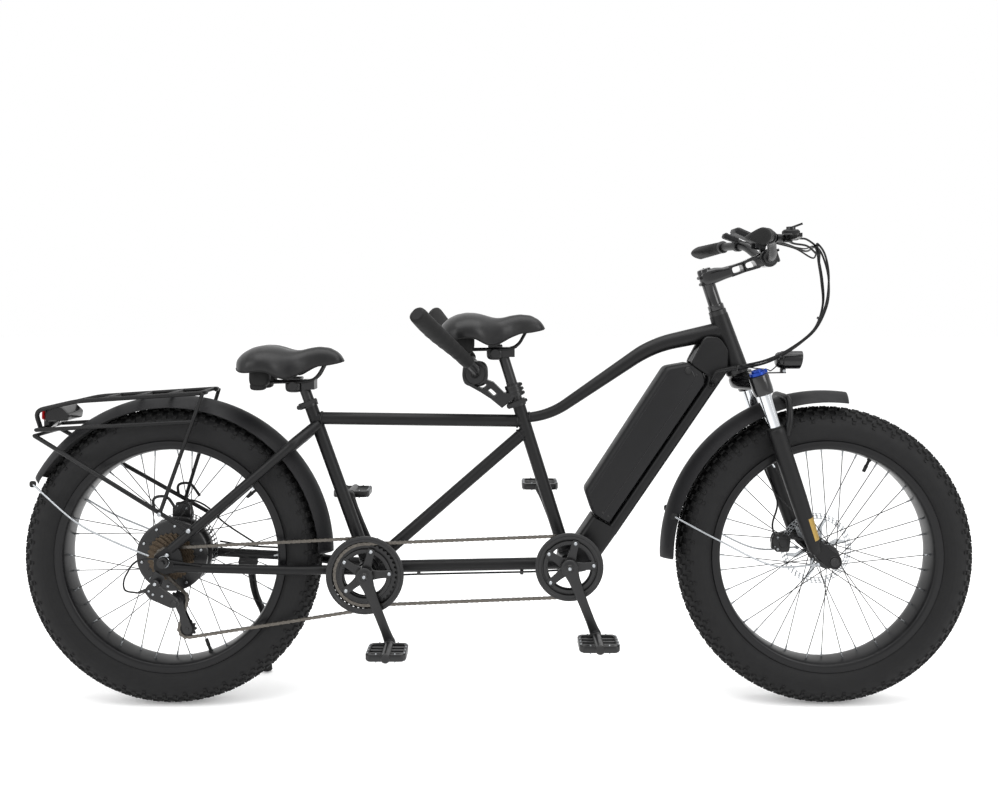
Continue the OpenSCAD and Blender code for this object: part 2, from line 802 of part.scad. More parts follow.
module stoker_stem() {
    color("#1b1b1d") {
        difference() {
            union() {
                seat_frame(captain_top, captain_seat_angle) {
                    translate([0, 0, stem_clamp_low]) cylinder(h = 32, d = seatpost_d + 13);
                    translate([-14, -12, stem_clamp_low + 32]) cube([14, 24, 8]);
                }
                plate(stem_xz([
                    [-60, 48], [-34, 22], [-14, 20], [-10, 6], [-39, -16], [-67, 7], [-92, 23], [-133, 46], [-120, 70]
                ]), -17, 17);
                disc(stoker_hub, -24, 24, 64);
            }
            seat_frame(captain_top, captain_seat_angle) cylinder(h = 80, d = seatpost_d);
            plate(stem_xz([[-109, 41], [-88, 53], [-75, 41], [-86, 31]]), -far, far);
            plate(stem_xz([[-76, 27], [-67, 34], [-50, 19], [-59, 11]]), -far, far);
            seat_frame(captain_top, captain_seat_angle) translate([0, 0, -30]) cylinder(h = 36, d = collar_d + 20);
        }
        sweep(bent([
            stoker_hub + [0, -24, 0], stoker_hub + [2, -58, 14], stoker_hub + stoker_bar_end - [0, 600, 0]
        ], 16, 4), bar_d, 12, [0.3, 0, 1]);
        sweep(bent([
            stoker_hub + [0, 24, 0], stoker_hub + [2, 58, 14], stoker_hub + stoker_bar_end
        ], 16, 4), bar_d, 12, [0.3, 0, 1]);
    }
}

module stoker_grip(side) {
    a = stoker_hub + [2, side * 58, 14];
    b = stoker_hub + [stoker_bar_end[0], side * stoker_bar_end[1], stoker_bar_end[2]];
    v = unit(b - a);
    difference() {
        hull() {
            rod(a + 40 * v, a + 44 * v, 34, $fn = 24);
            rod(b - 6 * v, b + 4 * v, 38, $fn = 24);
        }
        rod(a, b, bar_d);
    }
}

module stoker_grips() {
    color("#232326") {
        stoker_grip(-1);
        stoker_grip(1);
    }
}

// ---- Battery ----

module battery() {
    s0 = battery_s;
    s1 = battery_s + battery_len;
    t0 = tray_h + 1.5;
    t1 = t0 + battery_h;
    color("#232427") difference() {
        plate(dt_xz([
            [s0, t0], [s1 - 19, t0], [s1 - 1, 47], [s1, 90], [s1 - 37, t1 - 2], [s1 - 47, t1],
            [s0 + 34, t1 - 8], [s0 - 2, 78]
        ]), -battery_w / 2, battery_w / 2);
        captain_seat_outer(2);
    }
    color("#0e0e0f") disc(dt_point(s1 - 17, 80), -battery_w / 2 - 3, -battery_w / 2, 18);
}

// ---- Fork, steering ----

knob_pin_d = 10;

// Crown seen along the steering axis: narrow behind, so that it turns clear of the down tube
crown_low = -14;
crown_h = 34;
crown_back = [-24, 30];
crown_front_x = leg_x + 20;

module crown_block() {
    translate([0, 0, crown_low]) linear_extrude(crown_h) polygon([
        [crown_back[0], -crown_back[1]], [2, -leg_y], [crown_front_x, -leg_y],
        [crown_front_x, leg_y], [2, leg_y], [crown_back[0], crown_back[1]]
    ]);
}

module fork_crown() {
    color("#1a1a1c") fork_frame() {
        difference() {
            translate([0, 0, -14]) cylinder(h = head_high + 46, d = steerer_d);
            translate([0, 0, 22]) cylinder(h = far, d = 22);
        }
        difference() {
            crown_block();
            for (s = [-1, 1]) translate([leg_x, s * leg_y, -60]) cylinder(h = 120, d = crown_cap_d);
            translate([0, 0, -15]) cylinder(h = 40, d = steerer_d);
        }
        for (s = [-1, 1]) translate([leg_x, s * leg_y, cap_low]) cylinder(h = cap_high - cap_low, d = crown_cap_d);
        translate([leg_x, -leg_y, cap_high]) cylinder(h = 8, d = knob_pin_d);
    }
    color("#b9bcc0") fork_frame() for (s = [-1, 1])
        translate([leg_x, s * leg_y, stanchion_end]) cylinder(h = cap_low - stanchion_end, d = stanchion_d);
}

module lockout_knob() {
    color("#1d3f9e") fork_frame() translate([leg_x, -leg_y, cap_high + gap]) difference() {
        union() {
            cylinder(h = 7, d = 40);
            cylinder(h = 13, d = 26);
            translate([10, -5, 0]) cube([14, 10, 9]);
        }
        translate([0, 0, -1]) cylinder(h = 10, d = knob_pin_d + 2 * running);
    }
}

stem_clamp_d = 46;

module stem() {
    color("#1c1d1f") difference() {
        union() {
            fork_frame() {
                translate([0, 0, head_high + 12]) cylinder(h = 271 - head_high - 8, d = 34);
                translate([0, 0, head_high + 12]) cylinder(h = 14, d = 40);
                translate([0, 21, 274]) rotate([90, 0, 0]) linear_extrude(42) polygon([
                    [-20, -22], [-20, 20], [24, 24], [60, 10], [140, 16], [140, -16], [64, -18], [24, -22]
                ]);
                translate([159.5, 26, 274]) rotate([90, 0, 0]) cylinder(h = 52, d = stem_clamp_d);
            }
        }
        fork_frame() {
            translate([0, 0, -20]) cylinder(h = head_high + 53, d = steerer_d);
            translate([159.5, 40, 274]) rotate([90, 0, 0]) cylinder(h = 80, d = bar_d + 9);
            for (x = [76, 112]) translate([x, far, 273]) rotate([90, 0, 0]) cylinder(h = 2 * far, d = 20);
        }
    }
}

bar_half_path = bent([
    bar_clamp, bar_clamp + [0, 52, 0], bar_clamp + [-24, 130, 40], bar_clamp + [-58, 220, 42], bar_clamp + bar_end
], 26, 4);

module handlebar() {
    color("#161618") {
        disc(bar_clamp, -34, 34, bar_d + 9);
        sweep(bar_half_path, bar_d, 12, [1, 0, 0]);
        sweep(all_mirror_y(bar_half_path), bar_d, 12, [1, 0, 0]);
    }
}

grip_len = 128;

module grip(side) {
    a = bar_clamp + [-58, side * 220, 42];
    b = bar_clamp + [bar_end[0], side * bar_end[1], bar_end[2]];
    v = unit(b - a);
    difference() {
        hull() {
            rod(b - grip_len * 0.9 * v, b - grip_len * 0.8 * v, 32, $fn = 24);
            rod(b - 10 * v, b + 2 * v, 38, $fn = 24);
            translate([-26, 0, -4]) rod(b - 40 * v, b - 8 * v, 16, $fn = 16);
        }
        rod(a - 40 * v, b, bar_d);
    }
}

module handlebar_grips() {
    color("#2a2b2e") {
        grip(-1);
        grip(1);
    }
}

lever_at = [for (s = [-1, 1]) bar_clamp + [-35, s * 158, 42]];
lever_pin_d = 5;
shift_pin_d = 8;
shift_at = bar_clamp + [26, -118, 63];
lever_pivot = [for (s = [-1, 1]) bar_clamp + [8, s * 150, 40]];

module bar_controls() {
    color("#121214") {
        for (i = [0, 1]) {
            s = 2 * i - 1;
            // Brake lever clamp and body
            difference() {
                hull() {
                    translate(lever_at[i]) rotate([90, 0, 0]) cylinder(h = 16, d = 34, center = true, $fn = 24);
                    translate(lever_pivot[i] + [-2.5, s * 2, 0]) cube([21, 26, 20], center = true);
                }
                sweep(i == 0 ? all_mirror_y(bar_half_path) : bar_half_path, bar_d, 12, [1, 0, 0]);
                translate(lever_pivot[i] + [4, 0, 0]) cube([22, 60, 10], center = true);
            }
            translate(lever_pivot[i] + [3, 0, -9]) cylinder(h = 18, d = lever_pin_d);
        }
        // Display case on its bracket
        translate(bar_clamp + [-44, 0, 52]) rotate([0, 24, 0]) difference() {
            cube([92, 64, 17], center = true);
            translate([0, 0, 8.5]) cube([76, 50, 2], center = true);
        }
        difference() {
            translate(bar_clamp + [-18, -8, 15]) cube([16, 16, 30]);
            disc(bar_clamp, -26, 26, stem_clamp_d);
        }
        // Control pad on the left, shifter case on the right
        translate(bar_clamp + [-60, 120, 52]) rotate([0, 20, 0]) cube([44, 30, 16], center = true);
        translate(shift_at - [0, 0, 13]) cube([40, 30, 26], center = true);
        translate(shift_at) cylinder(h = 6, d = shift_pin_d);
    }
}

// Blade in the plane of the bar: runs outwards from the pivot
module brake_lever(i) {
    s = 2 * i - 1;
    p = lever_pivot[i];
    color("#19191b") {
        difference() {
            union() {
                translate(p + [3, 0, -4.5]) cylinder(h = 9, d = 18);
                translate(p + [0, 0, -4.5]) linear_extrude(9) polygon([
                    [0, 0], [11, -s * 3], [18, s * 8], [16, s * 50], [2, s * 112], [-6, s * 110], [4, s * 48], [-2, s * 7]
                ]);
            }
            translate(p + [3, 0, -20]) cylinder(h = 40, d = lever_pin_d + 2 * running);
        }
    }
}

module brake_lever_right() {
    brake_lever(0);
}

module brake_lever_left() {
    brake_lever(1);
}

module shift_lever() {
    color("#121214") translate(shift_at + [0, 0, gap]) difference() {
        union() {
            cylinder(h = 6, d = 22);
            translate([0, -4, 0]) rotate([0, -20, 0]) translate([0, 0, 1]) cube([30, 8, 5]);
        }
        translate([0, 0, -1]) cylinder(h = 40, d = shift_pin_d + 2 * running);
    }
}

lamp_at = crown + [88, 0, 55];
lamp_len = 66;
strap_t = 3;

module headlight() {
    color("#151517") {
        translate(lamp_at) rotate([0, 90, 0]) {
            difference() {
                cylinder(h = lamp_len, d = 46);
                translate([0, 0, lamp_len - 8]) cylinder(h = 9, d = 40);
            }
        }
        difference() {
            translate(lamp_at + [12, -8, -33]) cube([12, 16, 18]);
            translate(lamp_at) rotate([0, 90, 0]) cylinder(h = lamp_len, d = 40);
        }
        difference() {
            plate([
                for (p = [[14, 24], [60, 24 - strap_t], [118, 22], [118, 22 + strap_t], [60, 24], [14, 24 + strap_t]])
                    [crown[0] + p[0], crown[2] + p[1]]
            ], -10, 10);
            fork_frame() crown_block();
        }
    }
    color("#e8eef2") translate(lamp_at + [lamp_len - 8, 0, 0]) rotate([0, 90, 0]) cylinder(h = 7, d = 40);
}

// The bundle from the bar controls to the down tube
cable_route = [
    bar_clamp + [46, -112, 46], bar_clamp + [70, -106, 42], bar_clamp + [104, -80, 20], bar_clamp + [120, -62, -10],
    bar_clamp + [128, -56, -60], bar_clamp + [126, -52, -120], bar_clamp + [100, -50, -180],
    bar_clamp + [46, -46, -226], bar_clamp + [-8, -44, -254], bar_clamp + [-60, -43, -268],
    bar_clamp + [-106, -48, -276], bar_clamp + [-136, -54, -284], cable_port + [0, -16, 12], cable_port
];

module control_cables() {
    color("#0f0f10") sweep(smooth(cable_route, 3), cable_d, 8, [0.3, 1, 0.2]);
}

axle_x = fork_rake;
axle_z = -crown_to_axle;

module fork_leg(s) {
    foot = axle_z + 34;
    difference() {
        union() {
            translate([leg_x, s * leg_y, foot + 120]) cylinder(h = lowers_top - foot - 120, d = lower_d);
            translate([leg_x, s * leg_y, foot]) cylinder(h = 120, d1 = lower_foot_d, d2 = lower_d);
            translate([0, s * leg_y + 7, 0]) rotate([90, 0, 0]) linear_extrude(14) polygon([
                [leg_x - 12, foot + 8], [leg_x - 10, foot - 16], [axle_x - 20, axle_z - 14], [axle_x, axle_z - 20],
                [axle_x + 18, axle_z - 6], [axle_x + 16, axle_z + 16], [leg_x + 16, foot + 40]
            ]);
        }
        translate([leg_x, s * leg_y, stanchion_end - fork_travel - 4])
            cylinder(h = far, d = stanchion_d + 2 * running);
        translate([axle_x, far, axle_z]) rotate([90, 0, 0]) cylinder(h = 2 * far, d = axle_d);
    }
}

arch_path = bent([
    [leg_x + 20, -leg_y, lowers_top - 22], [leg_x + 46, -leg_y + 2, lowers_top + 30],
    [leg_x + 56, -leg_y + 28, lowers_top + 60], [leg_x + 56, leg_y - 28, lowers_top + 60],
    [leg_x + 46, leg_y - 2, lowers_top + 30], [leg_x + 20, leg_y, lowers_top - 22]
], 20, 4);

module fork_lowers() {
    color("#151517") fork_frame() difference() {
        union() {
            for (s = [-1, 1]) fork_leg(s);
            difference() {
                sweep(arch_path, 18, 12, [1, 0, 0.3]);
                for (s = [-1, 1]) translate([leg_x, s * leg_y, lowers_top - 100]) cylinder(h = 200, d = lower_d - 2);
            }
        }
        translate([axle_x, 0, axle_z]) rotate([90, 0, 0]) cylinder(h = 2 * fender_half, r = fender_r + 0.5, center = true);
    }
    color("#9a9da1") disc(front_axle, -leg_y - 14, leg_y + 14, axle_d);
}

front_stay_tip = front_axle + fender_r * [-0.985, 0, 0.08];

module front_fender() {
    color("#222327") difference() {
        fender_shell(front_axle, fender_r, 82, 181, 24);
        fork_frame() for (s = [-1, 1]) translate([leg_x, s * leg_y, -far]) cylinder(h = far + 20, d = crown_cap_d + 2);
    }
    color("#c9ccd0") both_sides() sweep(bent([
        front_stay_tip + [4, fender_half + 3, 22], front_stay_tip + [110, leg_y + 4, -12], front_axle + [-40, leg_y + 9, -6]
    ], 40, 4), stay_wire_d, 8, [0, 1, 0]);
}

front_caliper_at = front_axle + [-91, 0, 14];

module front_brake_caliper() {
    color("#2a2b2e") difference() {
        union() {
            translate(front_caliper_at) rotate([0, -90, 0]) translate(-front_caliper_at)
                caliper_body(front_caliper_at, rotor_front_y, 6);
            plate([
                for (p = [[-12, 22], [26, 34], [52, 24], [52, 6], [10, 8]]) [front_caliper_at[0] + p[0], front_caliper_at[2] + p[1]]
            ], rotor_front_y + 5, leg_y - 3);
        }
        fork_frame() fork_leg(1);
    }
}

// ---- Wheels ----

module spun(axle) {
    translate(axle) rotate([90, 0, 0]) rotate_extrude() children();
}

bead_r = rim_d / 2 - 1;
bead_half = rim_w / 2 - 3.2;
bead_angle = 180 - asin(bead_half / half_w);
tyre_section = (tyre_r - bead_r) / (1 - cos(bead_angle));
tyre_mid = tyre_r - tyre_section;
tyre_wall = 5;

module tyre(axle) {
    steps = 9;
    outer = [for (i = [-steps:steps]) let (a = i * bead_angle / steps)
        [tyre_mid + tyre_section * cos(a), half_w * sin(a)]];
    inner = [for (i = [steps:-1:-steps]) let (a = i * bead_angle / steps)
        [tyre_mid + (tyre_section - tyre_wall) * cos(a), (half_w - tyre_wall) * sin(a)]];
    spun(axle) polygon(concat(outer, inner));
}

rim_deep = 24;
rim_in = rim_d / 2 - rim_deep;

module rim(axle) {
    spun(axle) polygon([
        [rim_in, -rim_w / 2], [rim_d / 2, -rim_w / 2], [rim_d / 2, -rim_w / 2 + 3], [rim_in + 4, -rim_w / 2 + 3],
        [rim_in + 4, rim_w / 2 - 3], [rim_d / 2, rim_w / 2 - 3], [rim_d / 2, rim_w / 2], [rim_in, rim_w / 2]
    ]);
}

module spokes(axle, flange_r, flange_y, lead) {
    for (i = [0:spoke_count - 1]) {
        side = 2 * (i % 2) - 1;
        turn = 2 * (floor(i / 2) % 2) - 1;
        a = 360 * i / spoke_count;
        b = a + turn * lead;
        rod(
            axle + [flange_r * cos(b), side * (flange_y + 3 * turn), flange_r * sin(b)],
            axle + [(rim_in + 2) * cos(a), side * 12, (rim_in + 2) * sin(a)],
            spoke_d, $fn = 16
        );
    }
}

module rotor(axle, y, boss_d) {
    difference() {
        disc(axle, y - rotor_t / 2, y + rotor_t / 2, rotor_d);
        disc(axle, y - 5, y + 5, boss_d);
        for (i = [0:11]) rotate_about(axle, 30 * i) disc(axle + [rotor_d / 2 - 26, 0, 0], y - 5, y + 5, 22);
    }
}

module rotate_about(axle, a) {
    translate(axle) rotate([0, -a, 0]) translate(-axle) children();
}

hub_flange_y = half_w - 20;
hub_flange_d = 60;

module front_tyre() {
    color("#1b1b1c") tyre(front_axle);
}

module front_rim() {
    color("#121213") rim(front_axle);
}

module front_spokes() {
    color("#1a1a1b") spokes(front_axle, hub_flange_d / 2 - 4, hub_flange_y, 58);
}

module front_hub() {
    color("#18181a") difference() {
        union() {
            disc(front_axle, -hub_flange_y - 6, hub_flange_y + 6, hub_flange_d);
            disc(front_axle, -hub_half + gap, hub_half - gap, 30);
        }
        disc(front_axle, -far, far, axle_d + 2 * running);
    }
    color("#9c9fa3") rotor(front_axle, rotor_front_y, 30);
}

module rear_tyre() {
    color("#1b1b1c") tyre(rear_axle);
}

module rear_rim() {
    color("#121213") rim(rear_axle);
}

motor_y = half_w - 21;
freewheel_in = drive_y - 33;

module rear_spokes() {
    color("#1a1a1b") spokes(rear_axle, motor_d / 2 - 1, motor_y - 8, 24);
}

module hub_motor() {
    color("#151517") difference() {
        union() {
            disc(rear_axle, -motor_y, motor_y, motor_d - 10);
            for (s = [-1, 1]) disc(rear_axle + [0, s * (motor_y - 8), 0], s * (motor_y - 8) - 6, s * (motor_y - 8) + 6, motor_d + 8);
            disc(rear_axle, motor_y - 1, dropout_y - dropout_t / 2 - gap, 40);
            disc(rear_axle, -drive_y, -motor_y + 1, 33);
        }
        disc(rear_axle, -far, far, axle_d + 2 * running);
    }
    color("#9c9fa3") rotor(rear_axle, rotor_rear_y, 40);
}

cog_count = 7;
cog_pitch = 5;

module freewheel() {
    color("#7b5e3a") difference() {
        union() {
            for (i = [0:cog_count - 1])
                disc(rear_axle, -drive_y - 1 + cog_pitch * i, -drive_y + 1 + cog_pitch * i,
                    2 * (cog_r - link_half - gap + 4.3 * i + (i > 0 ? 3 : 0)));
            disc(rear_axle, -drive_y - 2, -drive_y + cog_pitch * (cog_count - 1), 44);
        }
        disc(rear_axle, -far, far, 33 + 2 * running);
    }
}

// ---- Cranks and pedals ----

module crank_arm(bb, side) {
    d = -side * crank_dir;
    eye = bb + crank_len * d;
    y0 = side > 0 ? crank_y - crank_t / 2 : -crank_y - crank_t / 2;
    difference() {
        union() {
            disc(bb, y0, y0 + crank_t, 40);
            disc(eye, y0, y0 + crank_t, 28);
            translate(at_y(bb, y0 + crank_t)) rotate([90, 0, 0]) linear_extrude(crank_t) polygon([
                for (q = [[0, 15], [crank_len, 11], [crank_len, -11], [0, -15]])
                    [q[0] * d[0] - q[1] * d[2], q[0] * d[2] + q[1] * d[0]]
            ]);
        }
        disc(bb, -far, far, spindle_d);
        disc(eye, -far, far, 12);
    }
    p0 = side > 0 ? y0 : -pedal_y - pedal_w / 2 + 6;
    p1 = side > 0 ? pedal_y + pedal_w / 2 - 6 : y0 + crank_t;
    disc(eye, p0, p1, 12);
}

module chainring(bb, y, r) {
    difference() {
        disc(bb, -y - ring_t / 2, -y + ring_t / 2, 2 * (r - link_half - gap));
        disc(bb, -y - 5, -y + 5, 2 * (timing_r - 22));
    }
}

// Hub, five arms and the outer guard, with windows between the arms
module spider(bb, r, y) {
    window = timing_r - 26;
    difference() {
        union() {
            disc(bb, -y - 2.5, -y, 2 * r);
            disc(bb, -crank_y - crank_t / 2 + 2, -drive_y + 3, 44);
        }
        disc(bb, -far, far, spindle_d);
        for (i = [0:4]) rotate_about(bb, crank_rest + 36 + 72 * i) plate([
            for (q = [[30, -9], [window, -23], [window + 9, 0], [window, 23], [30, 9]]) [bb[0] + q[0], bb[2] + q[1]]
        ], -far, far);
    }
}

ring_bolt_r = timing_r - 16;

module ring_bolts(bb, from) {
    for (i = [0:4]) rotate_about(bb, crank_rest + 72 * i)
        disc(bb + [ring_bolt_r, 0, 0], -timing_y - link_half - 5, from, 10);
}

module crankset(bb, guard_r, bolt_from) {
    color("#141415") {
        disc(bb, -crank_y - crank_t / 2, crank_y + crank_t / 2, spindle_d);
        crank_arm(bb, -1);
        crank_arm(bb, 1);
        spider(bb, guard_r, timing_y + link_half + 1);
    }
    color("#2c2c2e") difference() {
        chainring(bb, timing_y, timing_r);
        ring_bolts(bb, bolt_from);
    }
    color("#9fa2a6") difference() {
        ring_bolts(bb, bolt_from);
        spider(bb, guard_r, timing_y + link_half + 1);
    }
}

module captain_cranks() {
    crankset(captain_bb, timing_guard_r, -timing_y + ring_t / 2 + 1);
}

module stoker_cranks() {
    crankset(stoker_bb, drive_guard_r, -drive_y + ring_t / 2 + 1);
    color("#2c2c2e") difference() {
        chainring(stoker_bb, drive_y, drive_r);
        ring_bolts(stoker_bb, -drive_y + 5);
    }
}

module pedal(bb, side) {
    eye = bb - side * crank_len * crank_dir;
    y = side * pedal_y;
    color("#151516") difference() {
        union() {
            translate(at_y(eye, y)) cube([pedal_len, pedal_w - 8, 18], center = true);
            disc(eye, y - pedal_w / 2, y + pedal_w / 2, 24);
        }
        for (s = [-1, 1], k = [-1, 1])
            translate(at_y(eye, y + k * pedal_w * 0.22) + [s * pedal_len * 0.29, 0, 0])
                cube([pedal_len * 0.26, pedal_w * 0.32, 40], center = true);
        disc(eye, -far, far, 12 + 2 * running);
    }
}

module captain_pedal_right() {
    pedal(captain_bb, -1);
}

module captain_pedal_left() {
    pedal(captain_bb, 1);
}

module stoker_pedal_right() {
    pedal(stoker_bb, -1);
}

module stoker_pedal_left() {
    pedal(stoker_bb, 1);
}

// ---- Derailleur ----

cage_pin_d = 8;
cage_out = -drive_y - link_half - 1.5;
cage_in = -drive_y + link_half + 1.5;

module derailleur_body() {
    y = -dropout_y - dropout_t / 2;
    color("#161617") {
        plate([
            for (p = [[-20, -20], [-34, -44], [-20, -60], [-4, -56], [4, -34]]) [rear_axle[0] + p[0], rear_axle[2] + p[1]]
        ], y - 5, y);
        plate([
            for (p = [[-30, -46], [-44, -66], [-30, -86], [26, -110], [44, -104], [40, -84], [-6, -52]])
                [rear_axle[0] + p[0], rear_axle[2] + p[1]]
        ], y - 16, y - gap);
        disc(rear_axle + [-14, 0, -48], y - 22, y, 18);
    }
    color("#8f9296") disc(guide_pulley, y - gap, cage_in + 4, cage_pin_d);
}

module derailleur_cage() {
    color("#1a1a1b") difference() {
        union() {
            for (y = [cage_out - 2, cage_in]) hull() {
                disc(guide_pulley, y, y + 2, 26, $fn = 32);
                disc(tension_pulley, y, y + 2, 26, $fn = 32);
            }
            for (p = [guide_pulley, tension_pulley]) {
                disc(p, -drive_y - 3, -drive_y + 3, 2 * (pulley_r - link_half - gap));
                disc(p, cage_out, cage_in, 12);
            }
        }
        disc(guide_pulley, -far, far, cage_pin_d + 2 * running);
    }
}

// ---- Kickstand ----

stand_foot = [rear_axle[0] + 184, dropout_y + 116, 6];

module kickstand() {
    color("#1b1b1d") difference() {
        union() {
            rod(stand_pivot - 6 * unit(stand_axis), stand_pivot + 8 * unit(stand_axis), 26);
            sweep(bent([
                stand_pivot + [0, 2, 0], stand_pivot + [10, 12, -86], stand_pivot + [32, 32, -146],
                stand_pivot + [14, 68, -240], stand_foot + [0, 0, 10]
            ], 22, 4), 17, 12, [1, 0.2, 0]);
            rod(stand_foot + [0, 0, 22], stand_foot - [0, 0, 2], 24, 30);
        }
        rod(stand_pivot - 30 * unit(stand_axis), stand_pivot + 30 * unit(stand_axis), 10 + 2 * running);
    }
}

head_tube();
down_tube();
front_top_tube();
captain_seat_tube();
stoker_seat_tube();
rear_top_tube();
diagonal_tube();
boom_tube();
chain_stays();
seat_stays();
axle_and_bearings();
luggage_rack();
rear_light();
rear_fender();
rear_brake_caliper();
timing_chain();
drive_chain();
frame_cables();
seat_collars();
captain_qr_lever();
stoker_qr_lever();
battery();
fork_crown();
lockout_knob();
stem();
handlebar();
handlebar_grips();
bar_controls();
brake_lever_right();
brake_lever_left();
shift_lever();
headlight();
control_cables();
fork_lowers();
front_fender();
front_brake_caliper();
front_tyre();
front_rim();
front_spokes();
front_hub();
rear_tyre();
rear_rim();
rear_spokes();
hub_motor();
freewheel();
captain_cranks();
stoker_cranks();
captain_pedal_right();
captain_pedal_left();
stoker_pedal_right();
stoker_pedal_left();
derailleur_body();
derailleur_cage();
captain_seatpost();
captain_saddle();
stoker_seatpost();
stoker_saddle();
stoker_stem();
stoker_grips();
kickstand();
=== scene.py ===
"""Fat-tyred electric tandem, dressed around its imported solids.

Shapes are worked out in millimetres and put into the meshes in metres: +X forwards,
+Y to the riders' left, +Z up, origin on the ground half way between the axles.
A part is a pair: an array of points, and a list of arrays of faces with equal corner counts.
"""
import math

import bpy
import numpy as np
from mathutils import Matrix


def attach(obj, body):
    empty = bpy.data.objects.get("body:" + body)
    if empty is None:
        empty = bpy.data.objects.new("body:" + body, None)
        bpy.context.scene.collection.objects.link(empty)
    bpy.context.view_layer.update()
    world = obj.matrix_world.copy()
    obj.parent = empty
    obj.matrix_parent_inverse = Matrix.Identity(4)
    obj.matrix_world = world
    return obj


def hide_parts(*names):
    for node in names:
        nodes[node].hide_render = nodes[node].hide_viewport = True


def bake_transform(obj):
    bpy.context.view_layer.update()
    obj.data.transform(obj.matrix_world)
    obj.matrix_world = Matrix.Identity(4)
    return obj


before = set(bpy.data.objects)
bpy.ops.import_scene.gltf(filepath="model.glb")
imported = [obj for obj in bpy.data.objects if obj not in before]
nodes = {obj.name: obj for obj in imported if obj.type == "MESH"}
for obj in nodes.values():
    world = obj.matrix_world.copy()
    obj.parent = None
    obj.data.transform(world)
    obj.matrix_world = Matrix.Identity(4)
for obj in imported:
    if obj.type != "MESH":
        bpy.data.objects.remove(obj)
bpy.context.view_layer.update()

# ---- Places, in millimetres ----

TAU = 2 * math.pi
FRONT = np.array([812.5, 0.0, 370.0])
REAR = np.array([-812.5, 0.0, 370.0])
STOKER = np.array([-326.0, 0.0, 336.0])
CAPTAIN = np.array([171.0, 0.0, 356.0])
CAPTAIN_UP = np.array([-0.30022, 0.0, 0.95387])
STOKER_UP = np.array([-0.34038, 0.0, 0.94029])
CAPTAIN_SEAT_LEN = 415
STOKER_SEAT_LEN = 440
CAPTAIN_TOP = CAPTAIN + CAPTAIN_SEAT_LEN * CAPTAIN_UP
STOKER_TOP = STOKER + STOKER_SEAT_LEN * STOKER_UP
STEER_UP = np.array([-0.31217, 0.0, 0.95002])
STEER_OUT = np.array([0.95002, 0.0, 0.31217])
FORK_RAKE = 61.9
CROWN_RISE = 473
BAR_REACH = 159.5
BAR_RISE = 274
CROWN = FRONT - FORK_RAKE * STEER_OUT + CROWN_RISE * STEER_UP
BAR = CROWN + BAR_REACH * STEER_OUT + BAR_RISE * STEER_UP
CRANK_REST = math.radians(-68.6)
TIMING_R = 74.8
DRIVE_R = 86.9
COG_R = 28.3
PULLEY_R = 22.2
REAR_FENDER_R = 397.6
FRONT_FENDER_R = 409


# ---- Camera, light and floor ----


def linear(code):
    """Linear red, green, blue and 1 from an sRGB hex colour: each channel c is c/12.92 below
    0.04045 and ((c + 0.055) / 1.055) to the power 2.4 above it."""
    c = np.array([int(code[i : i + 2], 16) for i in (1, 3, 5)]) / 255
    return (*np.where(c <= 0.04045, c / 12.92, ((c + 0.055) / 1.055) ** 2.4).tolist(), 1.0)


def add_node(tree, kind, inputs=None, **settings):
    """Adds a node; inputs are numbers, colours or sockets to link, settings are its properties."""
    made = tree.nodes.new(kind)
    for key, value in settings.items():
        setattr(made, key, value)
    for key, value in (inputs or {}).items():
        if isinstance(value, bpy.types.NodeSocket):
            tree.links.new(value, made.inputs[key])
        else:
            made.inputs[key].default_value = value
    return made


def studio():
    """Level camera on the right side, white surround, three soft panels and a pale floor."""
    scene = bpy.context.scene
    scene.view_settings.view_transform = "Standard"
    lens = bpy.data.cameras.new("camera")
    lens.sensor_width = 36
    lens.lens = 35.93
    lens.shift_y = -0.0922
    lens.clip_end = 100
    camera = bpy.data.objects.new("camera", lens)
    camera.location = (0, -2.5, 0.9854)
    camera.rotation_euler = (math.pi / 2, 0, 0)
    scene.collection.objects.link(camera)
    scene.camera = camera

    world = bpy.data.worlds.new("white_surround")
    world.use_nodes = True
    world.node_tree.nodes["Background"].inputs["Color"].default_value = linear("#ffffff")
    world.node_tree.nodes["Background"].inputs["Strength"].default_value = 1.0
    scene.world = world

    for name, place, size, power in (
        ("panel_top", (0.1, -0.5, 3.4), (4.2, 2.4), 95),
        ("panel_front", (2.9, -2.4, 2.2), (1.6, 2.2), 55),
        ("panel_rear", (-3.0, -2.2, 1.9), (1.4, 2.0), 36),
    ):
        glow = bpy.data.lights.new(name, "AREA")
        glow.shape = "RECTANGLE"
        glow.size, glow.size_y = size
        glow.energy = power
        panel = bpy.data.objects.new(name, glow)
        panel.location = place
        away = np.array(place) - np.array([0.0, 0.0, 0.55])
        flat = math.hypot(away[0], away[1])
        panel.rotation_euler = (math.atan2(flat, away[2]), 0, math.atan2(away[0], -away[1]))
        scene.collection.objects.link(panel)

    mesh = bpy.data.meshes.new("studio_floor")
    side = 30.0
    mesh.from_pydata(
        [(-side, -side, 0), (side, -side, 0), (side, side, 0), (-side, side, 0)], [], [(0, 1, 2, 3)]
    )
    floor = bpy.data.objects.new("studio_floor", mesh)
    scene.collection.objects.link(floor)
    # Painted studio sweep: matt white, so only the contact shadows show
    paint = bpy.data.materials.new("matt_white_floor_paint")
    paint.use_nodes = True
    shader = paint.node_tree.nodes["Principled BSDF"]
    shader.inputs["Base Color"].default_value = linear("#f4f4f4")
    shader.inputs["Roughness"].default_value = 0.9
    shader.inputs["Specular IOR Level"].default_value = 0.1
    shader.inputs["Emission Color"].default_value = linear("#ffffff")
    shader.inputs["Emission Strength"].default_value = 0.18
    mesh.materials.append(paint)


studio()


# ---- Shapes ----


def unit(v):
    """Each row divided by its length."""
    v = np.asarray(v, float)
    return v / np.maximum(np.linalg.norm(v, axis=-1, keepdims=True), 1e-9)


